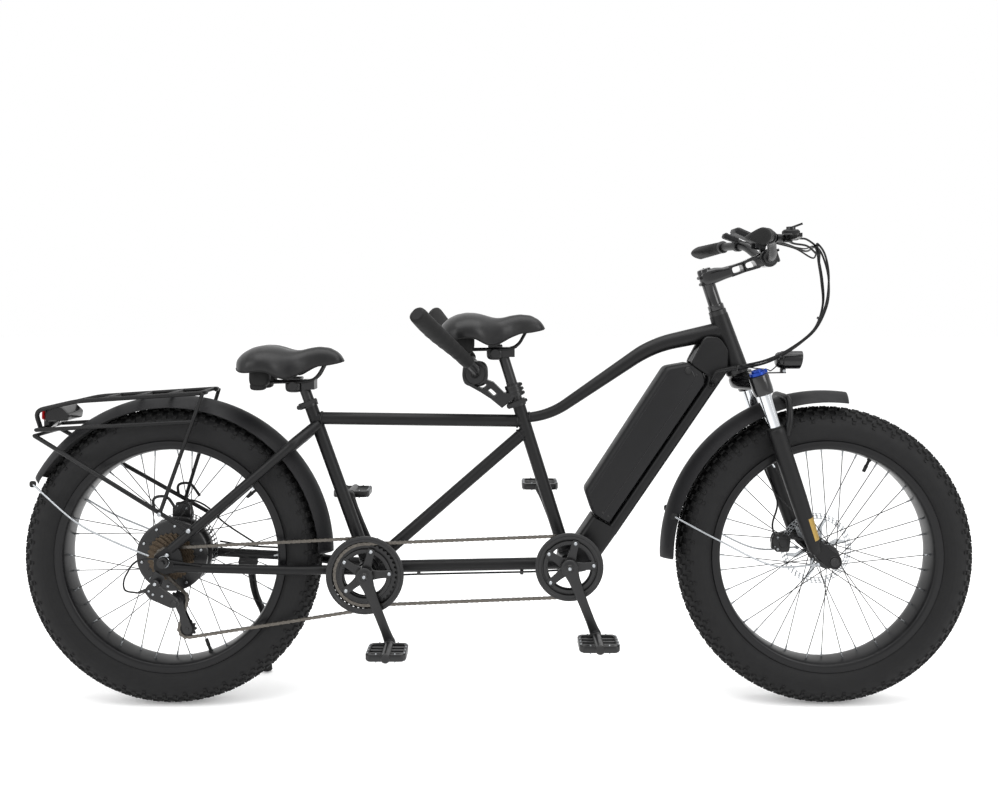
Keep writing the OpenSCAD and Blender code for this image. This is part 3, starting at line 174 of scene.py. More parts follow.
def grid_faces(rows, cols):
    """Quads between neighbouring rows and columns, the last column joined to the first."""
    i = np.arange(rows - 1)[:, None]
    j = np.arange(cols)[None, :]
    k = (j + 1) % cols
    return np.stack([i * cols + j, i * cols + k, (i + 1) * cols + k, (i + 1) * cols + j], -1).reshape(-1, 4)


def loft(rings, ring=False):
    """A skin over rings of points, an array of rows by columns by three. Ends are closed by one
    face each; ring joins the last row to the first instead. The skin is turned outwards by the
    sign of its volume, the sum of corner dot (corner cross corner) over its quads."""
    rings = np.asarray(rings, float)
    if ring:
        rings = np.concatenate([rings, rings[:1]])
    rows, cols = rings.shape[:2]
    faces = grid_faces(rows, cols)
    points = rings.reshape(-1, 3)
    if ring:
        faces = faces % ((rows - 1) * cols)
        points = points[: (rows - 1) * cols]
    centre = points.mean(0)
    a, b, c, d = (points[faces[:, n]] - centre for n in range(4))
    volume = (np.einsum("ij,ij->i", a, np.cross(b, c)) + np.einsum("ij,ij->i", a, np.cross(c, d))).sum()
    if volume < 0:
        faces = faces[:, ::-1]
    parts = [faces]
    if not ring:
        first = np.arange(cols)[None, :]
        last = first + (rows - 1) * cols
        parts += [first[:, ::-1], last] if volume > 0 else [first, last[:, ::-1]]
    return points, parts


def join(*parts):
    """Several parts as one: points stacked, face numbers moved up by the points before them."""
    points, faces, base = [], [], 0
    for p, f in parts:
        points.append(p)
        faces += [a + base for a in f]
        base += len(p)
    return np.concatenate(points), faces


def moved(part, shift):
    """The same shape carried along by shift."""
    return part[0] + np.asarray(shift, float), part[1]


def mirrored(part):
    """The same shape on the other side of the middle plane, its faces turned back outwards."""
    return part[0] * [1, -1, 1], [f[:, ::-1] for f in part[1]]


def pair(part):
    """The shape together with its mirror image across the middle plane."""
    return join(part, mirrored(part))


def turn_y(points, centre, angle):
    """Points turned about the Y line through centre; angle counts from forwards towards up."""
    c, s = np.cos(angle), np.sin(angle)
    p = np.asarray(points, float) - centre
    x, z = p[..., 0] * c - p[..., 2] * s, p[..., 0] * s + p[..., 2] * c
    return np.stack([x, p[..., 1] + 0 * x, z], -1) + centre


def ringed(part, centre, count, start=0.0):
    """count copies of a part, evenly turned about the Y line through centre."""
    angles = start + TAU * np.arange(count) / count
    points = turn_y(part[0][None], centre, angles[:, None])
    step = len(part[0]) * np.arange(count)[:, None, None]
    return points.reshape(-1, 3), [(f[None] + step).reshape(-1, f.shape[1]) for f in part[1]]


def placed(part, origins, along, across, up):
    """Copies of a part drawn about zero, one per origin, with its x, y and z along the given rows."""
    p = part[0]
    points = (
        origins[:, None]
        + p[None, :, :1] * along[:, None]
        + p[None, :, 1:2] * across[:, None]
        + p[None, :, 2:] * up[:, None]
    )
    step = len(p) * np.arange(len(origins))[:, None, None]
    return points.reshape(-1, 3), [(f[None] + step).reshape(-1, f.shape[1]) for f in part[1]]


def curve(points, steps=6):
    """A smooth line through the given points: the uniform Catmull-Rom cubic of each four
    neighbours, 0.5 (2b + f(c-a) + f^2(2a-5b+4c-d) + f^3(3b-a-3c+d)), f from 0 to 1."""
    p = np.asarray(points, float)
    p = np.concatenate([2 * p[:1] - p[1:2], p, 2 * p[-1:] - p[-2:-1]])
    f = (np.arange(steps) / steps)[None, :, None]
    a, b, c, d = (p[n : n + len(p) - 3, None] for n in range(4))
    line = 0.5 * (2 * b + f * (c - a) + f**2 * (2 * a - 5 * b + 4 * c - d) + f**3 * (3 * b - a - 3 * c + d))
    return np.concatenate([line.reshape(-1, 3), p[-2:-1]])


def rounded_path(points, cut, steps=6):
    """Straight runs with each corner replaced by the quadratic curve
    (1-f)^2 u + 2f(1-f) p + f^2 v between points a distance cut before and after it."""
    p = np.asarray(points, float)
    u = p[1:-1] - cut * unit(p[1:-1] - p[:-2])
    v = p[1:-1] + cut * unit(p[2:] - p[1:-1])
    f = np.linspace(0, 1, steps)[None, :, None]
    bends = (1 - f) ** 2 * u[:, None] + 2 * f * (1 - f) * p[1:-1, None] + f**2 * v[:, None]
    return np.concatenate([p[:1], bends.reshape(-1, 3), p[-1:]])


def tube(path, d, sides=16, flat=1.0, closed=False):
    """A round bar on a path: each ring is path + r (cos t n + flat sin t b), with n square to the
    tangent and to the path's own plane normal, and b square to both."""
    path = np.asarray(path, float)
    if closed:
        tangent = unit(np.roll(path, -1, 0) - np.roll(path, 1, 0))
    else:
        tangent = unit(np.gradient(path, axis=0))
    spread = path - path.mean(0)
    plane = np.linalg.svd(spread, full_matrices=True)[2][2]
    n = unit(np.cross(plane, tangent))
    b = np.cross(tangent, n)
    t = TAU * np.arange(sides) / sides
    r = np.broadcast_to(np.asarray(d, float) / 2, (len(path),))[:, None, None]
    rings = path[:, None] + r * (
        np.cos(t)[None, :, None] * n[:, None] + flat * np.sin(t)[None, :, None] * b[:, None]
    )
    return loft(rings, ring=closed)


def bar(a, b, d, sides=24, edge=0.8):
    """A straight round bar with a small chamfer at both ends; d is one diameter or one per end."""
    a, b = np.asarray(a, float), np.asarray(b, float)
    length = np.linalg.norm(b - a)
    d0, d1 = (d, d) if np.isscalar(d) else d
    share = np.array([0, edge / length, 1 - edge / length, 1])
    size = d0 + (d1 - d0) * share - np.array([2 * edge, 0, 0, 2 * edge])
    way = (b - a) / length
    side = unit(np.cross(way, [0.0, 1.0, 0.0] if abs(way[1]) < 0.9 else [1.0, 0.0, 0.0]))
    other = np.cross(way, side)
    t = TAU * np.arange(sides) / sides
    ring = np.cos(t)[:, None] * side + np.sin(t)[:, None] * other
    return loft(a + share[:, None, None] * (b - a) + size[:, None, None] / 2 * ring[None])


def lathe(profile, centre, turns=120):
    """A closed profile of (y, radius) rows turned about the Y line through centre."""
    profile = np.asarray(profile, float)
    t = TAU * np.arange(turns) / turns
    y, r = profile[None, :, 0], profile[None, :, 1]
    rings = np.stack([r * np.cos(t)[:, None], y + 0 * t[:, None], r * np.sin(t)[:, None]], -1) + centre
    return loft(rings, ring=True)


def disc(centre, y0, y1, d, bore=0.0, edge=0.8, turns=48):
    """A turned disc or washer between two places across, with chamfered rims."""
    r, h = d / 2, bore / 2
    if bore <= 0:
        c = np.asarray(centre, float)
        return bar([c[0], y0, c[2]], [c[0], y1, c[2]], d, turns, edge)
    c = [centre[0], 0, centre[2]]
    return lathe(
        [(y0, h), (y0, r - edge), (y0 + edge, r), (y1 - edge, r), (y1, r - edge), (y1, h)], c, turns
    )


def outward(outline):
    """Unit normals of a closed outline of (x, z) rows, and the outline in anticlockwise order."""
    p = np.asarray(outline, float)
    q = np.roll(p, -1, 0)
    if (p[:, 0] * q[:, 1] - q[:, 0] * p[:, 1]).sum() < 0:
        p = p[::-1]
    v = unit(np.roll(p, -1, 0) - np.roll(p, 1, 0))
    return p, np.stack([v[:, 1], -v[:, 0]], -1)


def plate(outline, y0, y1, edge=1.0):
    """A flat outline of (x, z) rows thickened across, its edges chamfered by drawing the end
    faces in along the outline's normals."""
    p, n = outward(outline)
    rings = [
        np.stack([q[:, 0], np.full(len(q), y), q[:, 1]], -1)
        for q, y in ((p - edge * n, y0), (p, y0 + edge), (p, y1 - edge), (p - edge * n, y1))
    ]
    return loft(rings)


def windowed(outer, inner, y0, y1, edge=0.8):
    """A plate with one window: both outlines have the same number of rows, taken in step."""
    (p, n), (q, m) = outward(outer), outward(inner)
    rows = [(p - edge * n, y0), (p, y0 + edge), (p, y1 - edge), (p - edge * n, y1)]
    rows += [(q + edge * m, y1), (q, y1 - edge), (q, y0 + edge), (q + edge * m, y0)]
    rings = [np.stack([o[:, 0], np.full(len(o), y), o[:, 1]], -1) for o, y in rows]
    return loft(rings, ring=True)


def softened(outline, cut, steps=5):
    """A closed outline with each corner rounded by a quadratic curve of the given cut."""
    p = np.asarray(outline, float)
    before, after = unit(p - np.roll(p, 1, 0)), unit(np.roll(p, -1, 0) - p)
    f = np.linspace(0, 1, steps)[None, :, None]
    u, v = p - cut * before, p + cut * after
    line = (1 - f) ** 2 * u[:, None] + 2 * f * (1 - f) * p[:, None] + f**2 * v[:, None]
    return line.reshape(-1, 2)


def outline_at(place, points, cut, steps=5):
    """The (x, z) points laid out from a place as one closed outline, its corners softened."""
    return softened([(place[0] + x, place[2] + z) for x, z in points], cut, steps)


def block(centre, size, edge=2.0, turn=(0, 0, 0)):
    """A box with rounded upright corners and chamfered ends, turned about X, Y and Z in degrees."""
    w, d, h = np.asarray(size, float) / 2
    edge = min(edge, 0.9 * min(w, d, h))
    a = TAU * (np.arange(24) + 0.5) / 24
    corner = np.stack([np.sign(np.cos(a)) * (w - edge), np.sign(np.sin(a)) * (d - edge)], -1)
    flat = corner + edge * np.stack([np.cos(a), np.sin(a)], -1)
    lean = edge * 0.6
    small = corner + (edge - lean) * np.stack([np.cos(a), np.sin(a)], -1)
    rings = [
        np.concatenate([o, np.full((24, 1), z)], 1)
        for o, z in ((small, -h), (flat, -h + lean), (flat, h - lean), (small, h))
    ]
    points, faces = loft(rings)
    x, y, z = (math.radians(t) for t in turn)
    rx = np.array([[1, 0, 0], [0, math.cos(x), -math.sin(x)], [0, math.sin(x), math.cos(x)]])
    ry = np.array([[math.cos(y), 0, math.sin(y)], [0, 1, 0], [-math.sin(y), 0, math.cos(y)]])
    rz = np.array([[math.cos(z), -math.sin(z), 0], [math.sin(z), math.cos(z), 0], [0, 0, 1]])
    return points @ (rz @ ry @ rx).T + np.asarray(centre, float), faces


def dome(centre, size, squareness=2.0, rows=14, cols=28):
    """A closed lump: (cos u)^(2/s) and (sin u)^(2/s) in each direction, s from round 2 to boxy."""
    u = np.linspace(-math.pi / 2 + 0.02, math.pi / 2 - 0.02, rows)[:, None]
    v = TAU * np.arange(cols)[None, :] / cols

    def power(c):
        """The cosine or sine raised to 2 / squareness with its sign kept."""
        return np.sign(c) * np.abs(c) ** (2 / squareness)

    w, d, h = np.asarray(size, float) / 2
    rings = np.stack(
        [
            w * power(np.cos(u)) * power(np.cos(v)),
            d * power(np.cos(u)) * power(np.sin(v)),
            h * power(np.sin(u)) + 0 * v,
        ],
        -1,
    )
    points, faces = loft(rings)
    return points + np.asarray(centre, float), faces


def add_piece(name, part, material, body, replaces=(), sharp=32):
    """Makes a mesh piece in metres, smooth but for edges sharper than the angle, riding on a body."""
    points, groups = part
    faces = [f for group in groups for f in group.tolist()]
    mesh = bpy.data.meshes.new(name)
    mesh.from_pydata((points / 1000).tolist(), [], faces)
    mesh.update()
    mesh.shade_smooth()
    mesh.set_sharp_from_angle(angle=math.radians(sharp))
    mesh.materials.append(material)
    piece = bpy.data.objects.new(name, mesh)
    bpy.context.scene.collection.objects.link(piece)
    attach(piece, body)
    if replaces:
        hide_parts(*([replaces] if isinstance(replaces, str) else replaces))
    return piece


def bend(piece):
    """Lifts the piece off its body and bakes its place into the mesh, so that it follows no body."""
    piece.parent = None
    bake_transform(piece)


def cable(name, path, d, body, node=()):
    """A cable or hose of diameter d along its own path; the path's length is worked out but not used."""
    piece = add_piece(name, tube(path, d, 12), CABLE_SHEATH, body, node)
    length = np.linalg.norm(np.diff(path, axis=0), axis=1).sum()
    return piece


# ---- Finishes ----


def finish(
    name,
    colour,
    rough,
    metal=0.0,
    second=None,
    patch=40.0,
    grain=0.0,
    grain_mm=0.5,
    spread=0.06,
    coat=0.0,
    **sockets
):
    """A surface with colour clouded over patch millimetres, roughness wandering by spread about its
    middle, and a fine relief of grain millimetres deep whose bumps are grain_mm apart."""
    material = bpy.data.materials.new(name)
    material.use_nodes = True
    tree = material.node_tree
    shader = tree.nodes["Principled BSDF"]
    place = add_node(tree, "ShaderNodeTexCoord").outputs["Object"]
    cloud = add_node(
        tree,
        "ShaderNodeTexNoise",
        {"Vector": place, "Scale": 1000 / patch, "Detail": 4.0, "Roughness": 0.6},
    )
    mix = add_node(tree, "ShaderNodeMix", {"Factor": cloud.outputs["Fac"]}, data_type="RGBA")
    mix.inputs["A"].default_value = linear(colour)
    mix.inputs["B"].default_value = linear(second or colour)
    tree.links.new(mix.outputs["Result"], shader.inputs["Base Color"])
    wander = add_node(
        tree,
        "ShaderNodeMapRange",
        {
            "Value": cloud.outputs["Fac"],
            "From Min": 0.3,
            "From Max": 0.7,
            "To Min": rough - spread,
            "To Max": rough + spread,
        },
    )
    tree.links.new(wander.outputs["Result"], shader.inputs["Roughness"])
    shader.inputs["Metallic"].default_value = metal
    if not metal:
        shader.inputs["Specular IOR Level"].default_value = 0.24
    if coat:
        shader.inputs["Coat Weight"].default_value = coat
        shader.inputs["Coat Roughness"].default_value = 0.08
    if grain:
        fine = add_node(
            tree, "ShaderNodeTexNoise", {"Vector": place, "Scale": 1000 / grain_mm, "Detail": 2.0}
        )
        relief = add_node(
            tree, "ShaderNodeBump", {
                "Height": fine.outputs["Fac"], "Distance": grain / 1000, "Strength": 1.0
            }
        )
        tree.links.new(relief.outputs["Normal"], shader.inputs["Normal"])
    for key, value in sockets.items():
        shader.inputs[key.replace("_", " ")].default_value = value
    return material


# Matt powder coat on the steel and alloy frame: fine orange peel, soft wide highlights
POWDER_COAT = finish("matt_black_powder_coat", "#070708", 0.43, second="#0b0b0c", grain=0.12, grain_mm=1.4)
# Anodised and bead-blasted alloy: a little smoother, faintly metallic
ANODISED = finish(
    "black_anodised_alloy", "#0c0c0d", 0.36, metal=0.25, second="#121213", grain=0.03, grain_mm=0.8
)
# Rim paint: satin, picks up a grey sheen on its inner face
RIM_PAINT = finish("satin_black_rim_paint", "#08080a", 0.34, second="#0d0d0e", grain=0.04, grain_mm=1.2)
# Wet black paint under lacquer on the stem and fork crown
GLOSS_PAINT = finish("gloss_black_lacquer", "#050506", 0.22, second="#08080a", coat=0.6)
# Hard chrome on the stanchions, long soft streaks of light
CHROME = finish("hard_chrome_plate", "#d3d5d8", 0.14, metal=1.0, second="#c4c7ca", spread=0.04)
# Zinc-plated bolts and nuts
ZINC = finish(
    "zinc_plated_steel", "#a8abae", 0.3, metal=1.0, second="#8c8f92", patch=6, grain=0.03, grain_mm=0.6
)
# Ground stainless rotor
STAINLESS = finish(
    "ground_stainless_steel",
    "#b4b7ba",
    0.28,
    metal=1.0,
    second="#9a9da0",
    patch=5,
    grain=0.02,
    grain_mm=0.3,
)
# Vulcanised tyre rubber, dusty grey-black with mould texture
TYRE_RUBBER = finish(
    "vulcanised_tyre_rubber", "#070708", 0.62, second="#0d0d0e", patch=22, grain=0.25, grain_mm=1.6
)
TREAD_RUBBER = finish(
    "worn_tread_rubber", "#0a0a0b", 0.74, second="#131313", patch=9, grain=0.3, grain_mm=1.2
)
# Injection-moulded fender plastic, even fine matt spark
FENDER_PLASTIC = finish(
    "moulded_fender_plastic", "#0b0b0d", 0.55, second="#101012", grain=0.05, grain_mm=0.7
)
CASE_PLASTIC = finish("textured_case_plastic", "#0a0a0b", 0.5, second="#0e0e10", grain=0.1, grain_mm=0.9)
GLOSS_PLASTIC = finish("gloss_moulded_plastic", "#060607", 0.2, second="#09090a", coat=0.3)
GRIP_RUBBER = finish(
    "soft_grip_rubber", "#0b0b0b", 0.66, second="#121212", patch=12, grain=0.15, grain_mm=0.8
)
CABLE_SHEATH = finish("extruded_cable_sheath", "#060607", 0.38, second="#0a0a0b", patch=15)
CHAIN_STEEL = finish(
    "oiled_chain_steel", "#6a6660", 0.36, metal=0.85, second="#423e3a", patch=4, grain=0.05, grain_mm=0.5
)
COG_STEEL = finish(
    "brown_phosphated_cog_steel",
    "#54483a",
    0.45,
    metal=0.8,
    second="#3b332a",
    patch=6,
    grain=0.04,
    grain_mm=0.5,
)
SPOKE_BLACK = finish("black_oxide_spoke_wire", "#0a0a0b", 0.4, second="#070708", patch=8)
BLUE_ANODISED = finish("blue_anodised_knob", "#123a93", 0.3, metal=0.6, second="#0f3182", patch=8)
GOLD_FILM = finish("gold_printed_film", "#a08545", 0.4, metal=0.4, second="#8e7336", patch=6)
GREY_SCREEN = finish("dark_screen_glass", "#1c1d1f", 0.12, second="#232426", patch=30, coat=0.5)
RED_LENS = finish(
    "red_moulded_lens", "#8a0d10", 0.12, second="#a31316", patch=6, coat=0.8, Transmission_Weight=0.35
)
CLEAR_LENS = finish(
    "clear_polycarbonate_lens", "#e9edf0", 0.05, second="#dfe4e8", patch=10, Transmission_Weight=0.85
)
REFLECTOR = finish("vacuum_plated_reflector", "#d9dcdf", 0.1, metal=1.0, second="#c9ccd0", patch=8)


# ---- Wheels ----


def tyre_profile():
    """The tyre's section: half width 50 sin a across and 318.2 + 47.4 cos a out from the axle,
    a from bead to bead, with four fine moulded rings on each wall."""
    a = np.linspace(-1, 1, 81) * math.radians(133)
    out = 318.2 + 47.4 * np.cos(a)
    across = 50 * np.sin(a)
    low = np.degrees(np.abs(a))
    ribs = 0.9 * np.exp(-(((low - 118) / 1.6) ** 2)) + 0.6 * np.exp(-(((low - 108) / 1.2) ** 2))
    ribs += 1.1 * np.exp(-(((low - 62) / 2.5) ** 2)) + 0.5 * np.exp(-(((low - 96) / 1.0) ** 2))
    swell = 1 + ribs / 49
    outer = np.stack([across * swell, 318.2 + (out - 318.2) * swell], -1)
    inner = np.stack([44 * np.sin(a[::-4]), 318.2 + 42 * np.cos(a[::-4])], -1)
    return np.concatenate([outer, inner])


def knob(length, width, height):
    """One tread block, drawn with x round the tyre, y across and z out: its walls lean in and its
    top has a shallow sipe across the middle."""
    top = 0.78
    x = np.array([-1, -0.12, 0.12, 1])
    lower = np.stack(np.meshgrid(x, [-1, 1], indexing="ij"), -1).reshape(-1, 2)
    base = np.concatenate([lower * [length / 2, width / 2], np.full((8, 1), -2.0)], 1)
    crest = np.concatenate([lower * [length / 2 * top, width / 2 * top], np.full((8, 1), height)], 1)
    crest[2:6, 2] -= 0.9
    points = np.concatenate([base, crest])
    faces = [[0, 1, 9, 8], [7, 6, 14, 15]]
    faces += [[2 * n + 2, 2 * n, 2 * n + 8, 2 * n + 10] for n in range(3)]
    faces += [[2 * n + 1, 2 * n + 3, 2 * n + 11, 2 * n + 9] for n in range(3)]
    faces += [[2 * n + 8, 2 * n + 9, 2 * n + 11, 2 * n + 10] for n in range(3)]
    faces += [[2 * n, 2 * n + 2, 2 * n + 3, 2 * n + 1] for n in range(3)]
    return points, [np.array(faces)[:, ::-1]]


def tread(centre):
    """Rows of blocks laid on the tyre's crown: row angle a across, equal steps round the tyre.
    A block's out direction is the section's normal, its along direction the tyre's rim direction."""
    rows = (
        (0.0, 84, 0.0, (15, 19, 4.0)),
        (20.5, 84, 0.5, (17, 13, 4.2)),
        (40.0, 84, 0.0, (15, 13, 4.4)),
        (56.5, 84, 0.5, (11, 10, 4.0)),
        (68.0, 42, 0.25, (9, 6, 2.4)),
    )
    parts = []
    for degrees, count, shift, size in rows:
        for side in ((1,) if degrees == 0 else (-1, 1)):
            a = side * math.radians(degrees)
            t = TAU * (np.arange(count) + shift) / count
            radius, y = 318.2 + 47.4 * math.cos(a), 50 * math.sin(a)
            out = unit(np.array([math.cos(a) / 47.4, math.sin(a) / 50]))
            radial = np.stack([np.cos(t), 0 * t, np.sin(t)], -1)
            along = np.stack([-np.sin(t), 0 * t, np.cos(t)], -1)
            up = radial * out[0] + np.array([0, 1.0, 0]) * out[1]
            across = np.cross(up, along)
            origins = centre + radius * radial + np.array([0, y, 0])
            parts.append(placed(knob(*size), origins, along, across, up))
    return join(*parts)


def rim_section():
    """Wide double-dropped rim: hooked flanges, a flat bed with a shallow well, rounded corners."""
    half = [
        (40, 286), (39.2, 286.4), (37.6, 285.6), (37.2, 283), (37.4, 276), (35.5, 271.5), (26, 269.5),
        (14, 266.5), (0, 266),
    ]
    back = [(0, 262), (16, 262.4), (28, 264), (36, 266.6), (39.4, 270), (40.2, 275), (39.6, 280)]
    top = [(-y, r) for y, r in half[:-1]]
    under = [(-y, r) for y, r in back[1:]]
    return np.array(half + top[::-1] + under[::-1] + back)


def wheel_spokes(centre, flange_r, flange_y, lead):
    """36 crossed spokes: even ones on one side, neighbours on a side lean opposite ways. Each bar
    runs from its flange hole to the rim bed, with a nipple at the rim."""
    i = np.arange(36)
    side, lean = 2.0 * (i % 2) - 1, 2.0 * ((i // 2) % 2) - 1
    a = TAU * i / 36
    b = a + lean * math.radians(lead)
    hub = centre + np.stack(
        [flange_r * np.cos(b), side * (flange_y + 2.5 * lean), flange_r * np.sin(b)], -1
    )
    rim = centre + np.stack([265 * np.cos(a), side * 12, 265 * np.sin(a)], -1)
    way = unit(rim - hub)
    across = unit(np.cross(way, [0.0, 1.0, 0.0]))
    other = np.cross(way, across)
    length = np.linalg.norm(rim - hub, axis=1).mean()
    wire = bar([0, 0, 0], [0, 0, length], 2.2, 10, 0.1)
    nipple = bar([0, 0, length - 15], [0, 0, length - 1], (4.2, 4.6), 8, 0.4)
    head = bar([0, 0, -2], [0, 0, 3], 4.2, 8, 0.4)
    return placed(wire, hub, across, other, way), placed(join(nipple, head), hub, across, other, way)


def valve(centre, angle):
    """Tyre valve on the rim: threaded stem with a cap, pointing to the axle."""
    way = np.array([math.cos(angle), 0, math.sin(angle)])
    return join(
        bar(centre + 265 * way, centre + 240 * way, 7.5, 14, 0.6),
        bar(centre + 247 * way, centre + 228 * way, (9.5, 8.5), 14, 1.2),
        bar(centre + 266 * way, centre + 258 * way, (14, 10), 14, 1.0),
    )


def rotor(centre, y, arm_d):
    """Brake rotor: an outer track with rows of drilled windows left between short bridges, and six
    swept arms down to the carrier."""
    track = lathe([(y - 0.95, 88.6), (y - 0.95, 90), (y + 0.95, 90), (y + 0.95, 88.6)], centre, 96)
    lower = lathe([(y - 0.95, 75.4), (y - 0.95, 77.2), (y + 0.95, 77.2), (y + 0.95, 75.4)], centre, 96)
    middle = lathe([(y - 0.95, 82.2), (y - 0.95, 83.6), (y + 0.95, 83.6), (y + 0.95, 82.2)], centre, 96)
    x, z = centre[0], centre[2]
    bridge = plate(
        [
            (x + 76, z - 1.8), (x + 83, z - 0.4), (x + 89.4, z + 3.2), (x + 89.4, z - 0.6),
            (x + 83, z - 4.0), (x + 76, z - 5.4),
        ],
        y - 0.95,
        y + 0.95,
        0.1,
    )
    arm = plate(
        softened(
            [
                (x + arm_d / 2 - 3, z + 6), (x + 50, z + 24), (x + 74, z + 20), (x + 77, z + 12),
                (x + 54, z + 13), (x + arm_d / 2 - 3, z - 6),
            ],
            2,
        ),
        y - 0.95,
        y + 0.95,
        0.1,
    )
    return join(track, lower, middle, ringed(bridge, centre, 48), ringed(arm, centre, 6))


def bolts(centre, radius, count, y0, y1, d, start=0.0):
    """A ring of button-head bolts, each drawn as one chamfered disc."""
    p = np.array([centre[0] + radius, 0, centre[2]])
    head = join(disc(p, min(y0, y1), max(y0, y1), d, edge=d * 0.14, turns=14))
    return ringed(head, centre, count, start)


for name, centre, body in (("front", FRONT, "front_wheel"), ("rear", REAR, "rear_wheel")):
    add_piece(
        name + "_tyre_casing",
        lathe(tyre_profile(), centre, 180),
        TYRE_RUBBER,
        body,
        name + "_tyre",
        sharp=50,
    )
    add_piece(name + "_tyre_tread", tread(centre), TREAD_RUBBER, body, sharp=20)
    add_piece(
        name + "_wheel_rim",
        lathe(rim_section(), centre, 180),
        RIM_PAINT,
        body,
        name + "_rim",
        sharp=40,
    )

front_wire, front_ends = wheel_spokes(FRONT, 26, 31, 58)
add_piece("front_spoke_wires", front_wire, SPOKE_BLACK, "front_wheel", "front_spokes")
add_piece("front_spoke_nipples", front_ends, ZINC, "front_wheel")
rear_wire, rear_ends = wheel_spokes(REAR, 83, 22, 24)
add_piece("rear_spoke_wires", rear_wire, SPOKE_BLACK, "rear_wheel", "rear_spokes")
add_piece("rear_spoke_nipples", rear_ends, ZINC, "rear_wheel")
add_piece("front_valve", valve(FRONT, math.radians(63.5)), CABLE_SHEATH, "front_wheel")
add_piece(
    "rear_valves",
    join(valve(REAR, math.radians(38)), valve(REAR, math.radians(-70))),
    CABLE_SHEATH,
    "rear_wheel",
)

front_hub_shell = [
    (-65.5, 6.3), (-65.5, 14.5), (-46, 15), (-38, 17), (-37, 29), (-35.8, 30), (-32.5, 30), (-31.5, 29),
    (-29.5, 20.5), (-12, 18.5),
    (12, 18.5), (29.5, 20.5), (31.5, 29), (32.5, 30), (35.8, 30), (37, 29), (38, 17), (46, 15), (51, 15),
    (51, 22), (53, 22), (53, 15), (65.5, 14.5), (65.5, 6.3),
]
add_piece(
    "front_hub_shell",
    lathe(front_hub_shell, FRONT, 64),
    ANODISED,
    "front_wheel",
    "front_hub",
)
add_piece("front_rotor", rotor(FRONT, 54, 44), STAINLESS, "front_wheel", sharp=25)
add_piece("front_rotor_bolts", bolts(FRONT, 18, 6, 53.5, 57, 6.5), ZINC, "front_wheel")

motor_shell = [
    (-30.5, 6.3), (-30.5, 66), (-29, 73), (-28.6, 78), (-28.2, 84.5), (-26.6, 87.6), (-24, 88), (-18.5, 88),
    (-16, 87), (-15, 80.5), (-13, 79.4),
    (13, 79.4), (15, 80.5), (16, 87), (18.5, 88), (24, 88), (26.6, 87.6), (28.2, 84.5), (28.6, 78),
    (29, 73), (31, 64), (33, 40), (36, 24), (61, 21), (61, 27), (63, 27), (63, 20), (78, 19.5), (78, 6.3),
]
add_piece("motor_shell", lathe(motor_shell, REAR, 96), ANODISED, "rear_wheel", "hub_motor")
motor_ribs = ringed(bar([REAR[0] + 30, -30, REAR[2]], [REAR[0] + 66, -30, REAR[2]], 5, 10), REAR, 12)
add_piece(
    "motor_cover_ribs",
    join(motor_ribs, moved(motor_ribs, [0, 59.5, 0])),
    ANODISED,
    "rear_wheel",
)
add_piece(
    "motor_cover_bolts",
    join(bolts(REAR, 75, 10, -32, -28, 7, 0.2), bolts(REAR, 75, 10, 28, 32, 7, 0.2)),
    ZINC,
    "rear_wheel",
)
add_piece(
    "freewheel_carrier_tube",
    lathe([(-64, 6.3), (-64, 16.4), (-30, 16.4), (-30, 6.3)], REAR, 40),
    ANODISED,
    "rear_wheel",
)
add_piece("rear_rotor", rotor(REAR, 62, 50), STAINLESS, "rear_wheel", sharp=25)
add_piece("rear_rotor_bolts", bolts(REAR, 23, 6, 61.5, 65, 6.5), ZINC, "rear_wheel")


# ---- Sprockets, chains and cranks ----


def toothed(centre, y0, y1, pitch_r, teeth, bore_r, depth=4.2):
    """A toothed ring: outline radius is the pitch radius plus depth times a rounded wave with one
    crest a tooth, over a round bore, both outlines with the same number of rows."""
    t = TAU * np.arange(teeth * 8) / (teeth * 8)
    wave = np.cos(teeth * t)
    r = pitch_r - 0.6 * depth + depth * np.clip(0.55 + 0.75 * wave, 0, 1)
    outer = np.stack([centre[0] + r * np.cos(t), centre[2] + r * np.sin(t)], -1)
    inner = np.stack([centre[0] + bore_r * np.cos(t), centre[2] + bore_r * np.sin(t)], -1)
    return windowed(outer, inner, y0, y1, 0.35)


def even_line(points, pitch):
    """A closed line resampled at equal steps as near the pitch as a whole number of steps allows."""
    closed = np.concatenate([points, points[:1]])
    run = np.concatenate([[0], np.cumsum(np.linalg.norm(np.diff(closed, axis=0), axis=1))])
    count = 2 * int(round(run[-1] / pitch / 2))
    at = run[-1] * np.arange(count) / count
    return np.stack([np.interp(at, run, closed[:, n]) for n in range(closed.shape[1])], -1)


def link_plate(pitch, height, thick):
    """A figure-eight side plate, x along the chain, z out: a round end of half the height at both
    rivets, drawn in to just under six tenths between them."""
    t = TAU * np.arange(12) / 12
    x, z = np.cos(t), np.sin(t)
    outline = np.stack(
        [np.sign(x) * pitch / 2 + x * height / 2, z * height / 2 * np.where(np.abs(x) < 0.3, 0.58, 1.0)], -1
    )
    rings = [np.stack([outline[:, 0], np.full(12, y), outline[:, 1]], -1) for y in (-thick / 2, thick / 2)]
    return loft(rings)


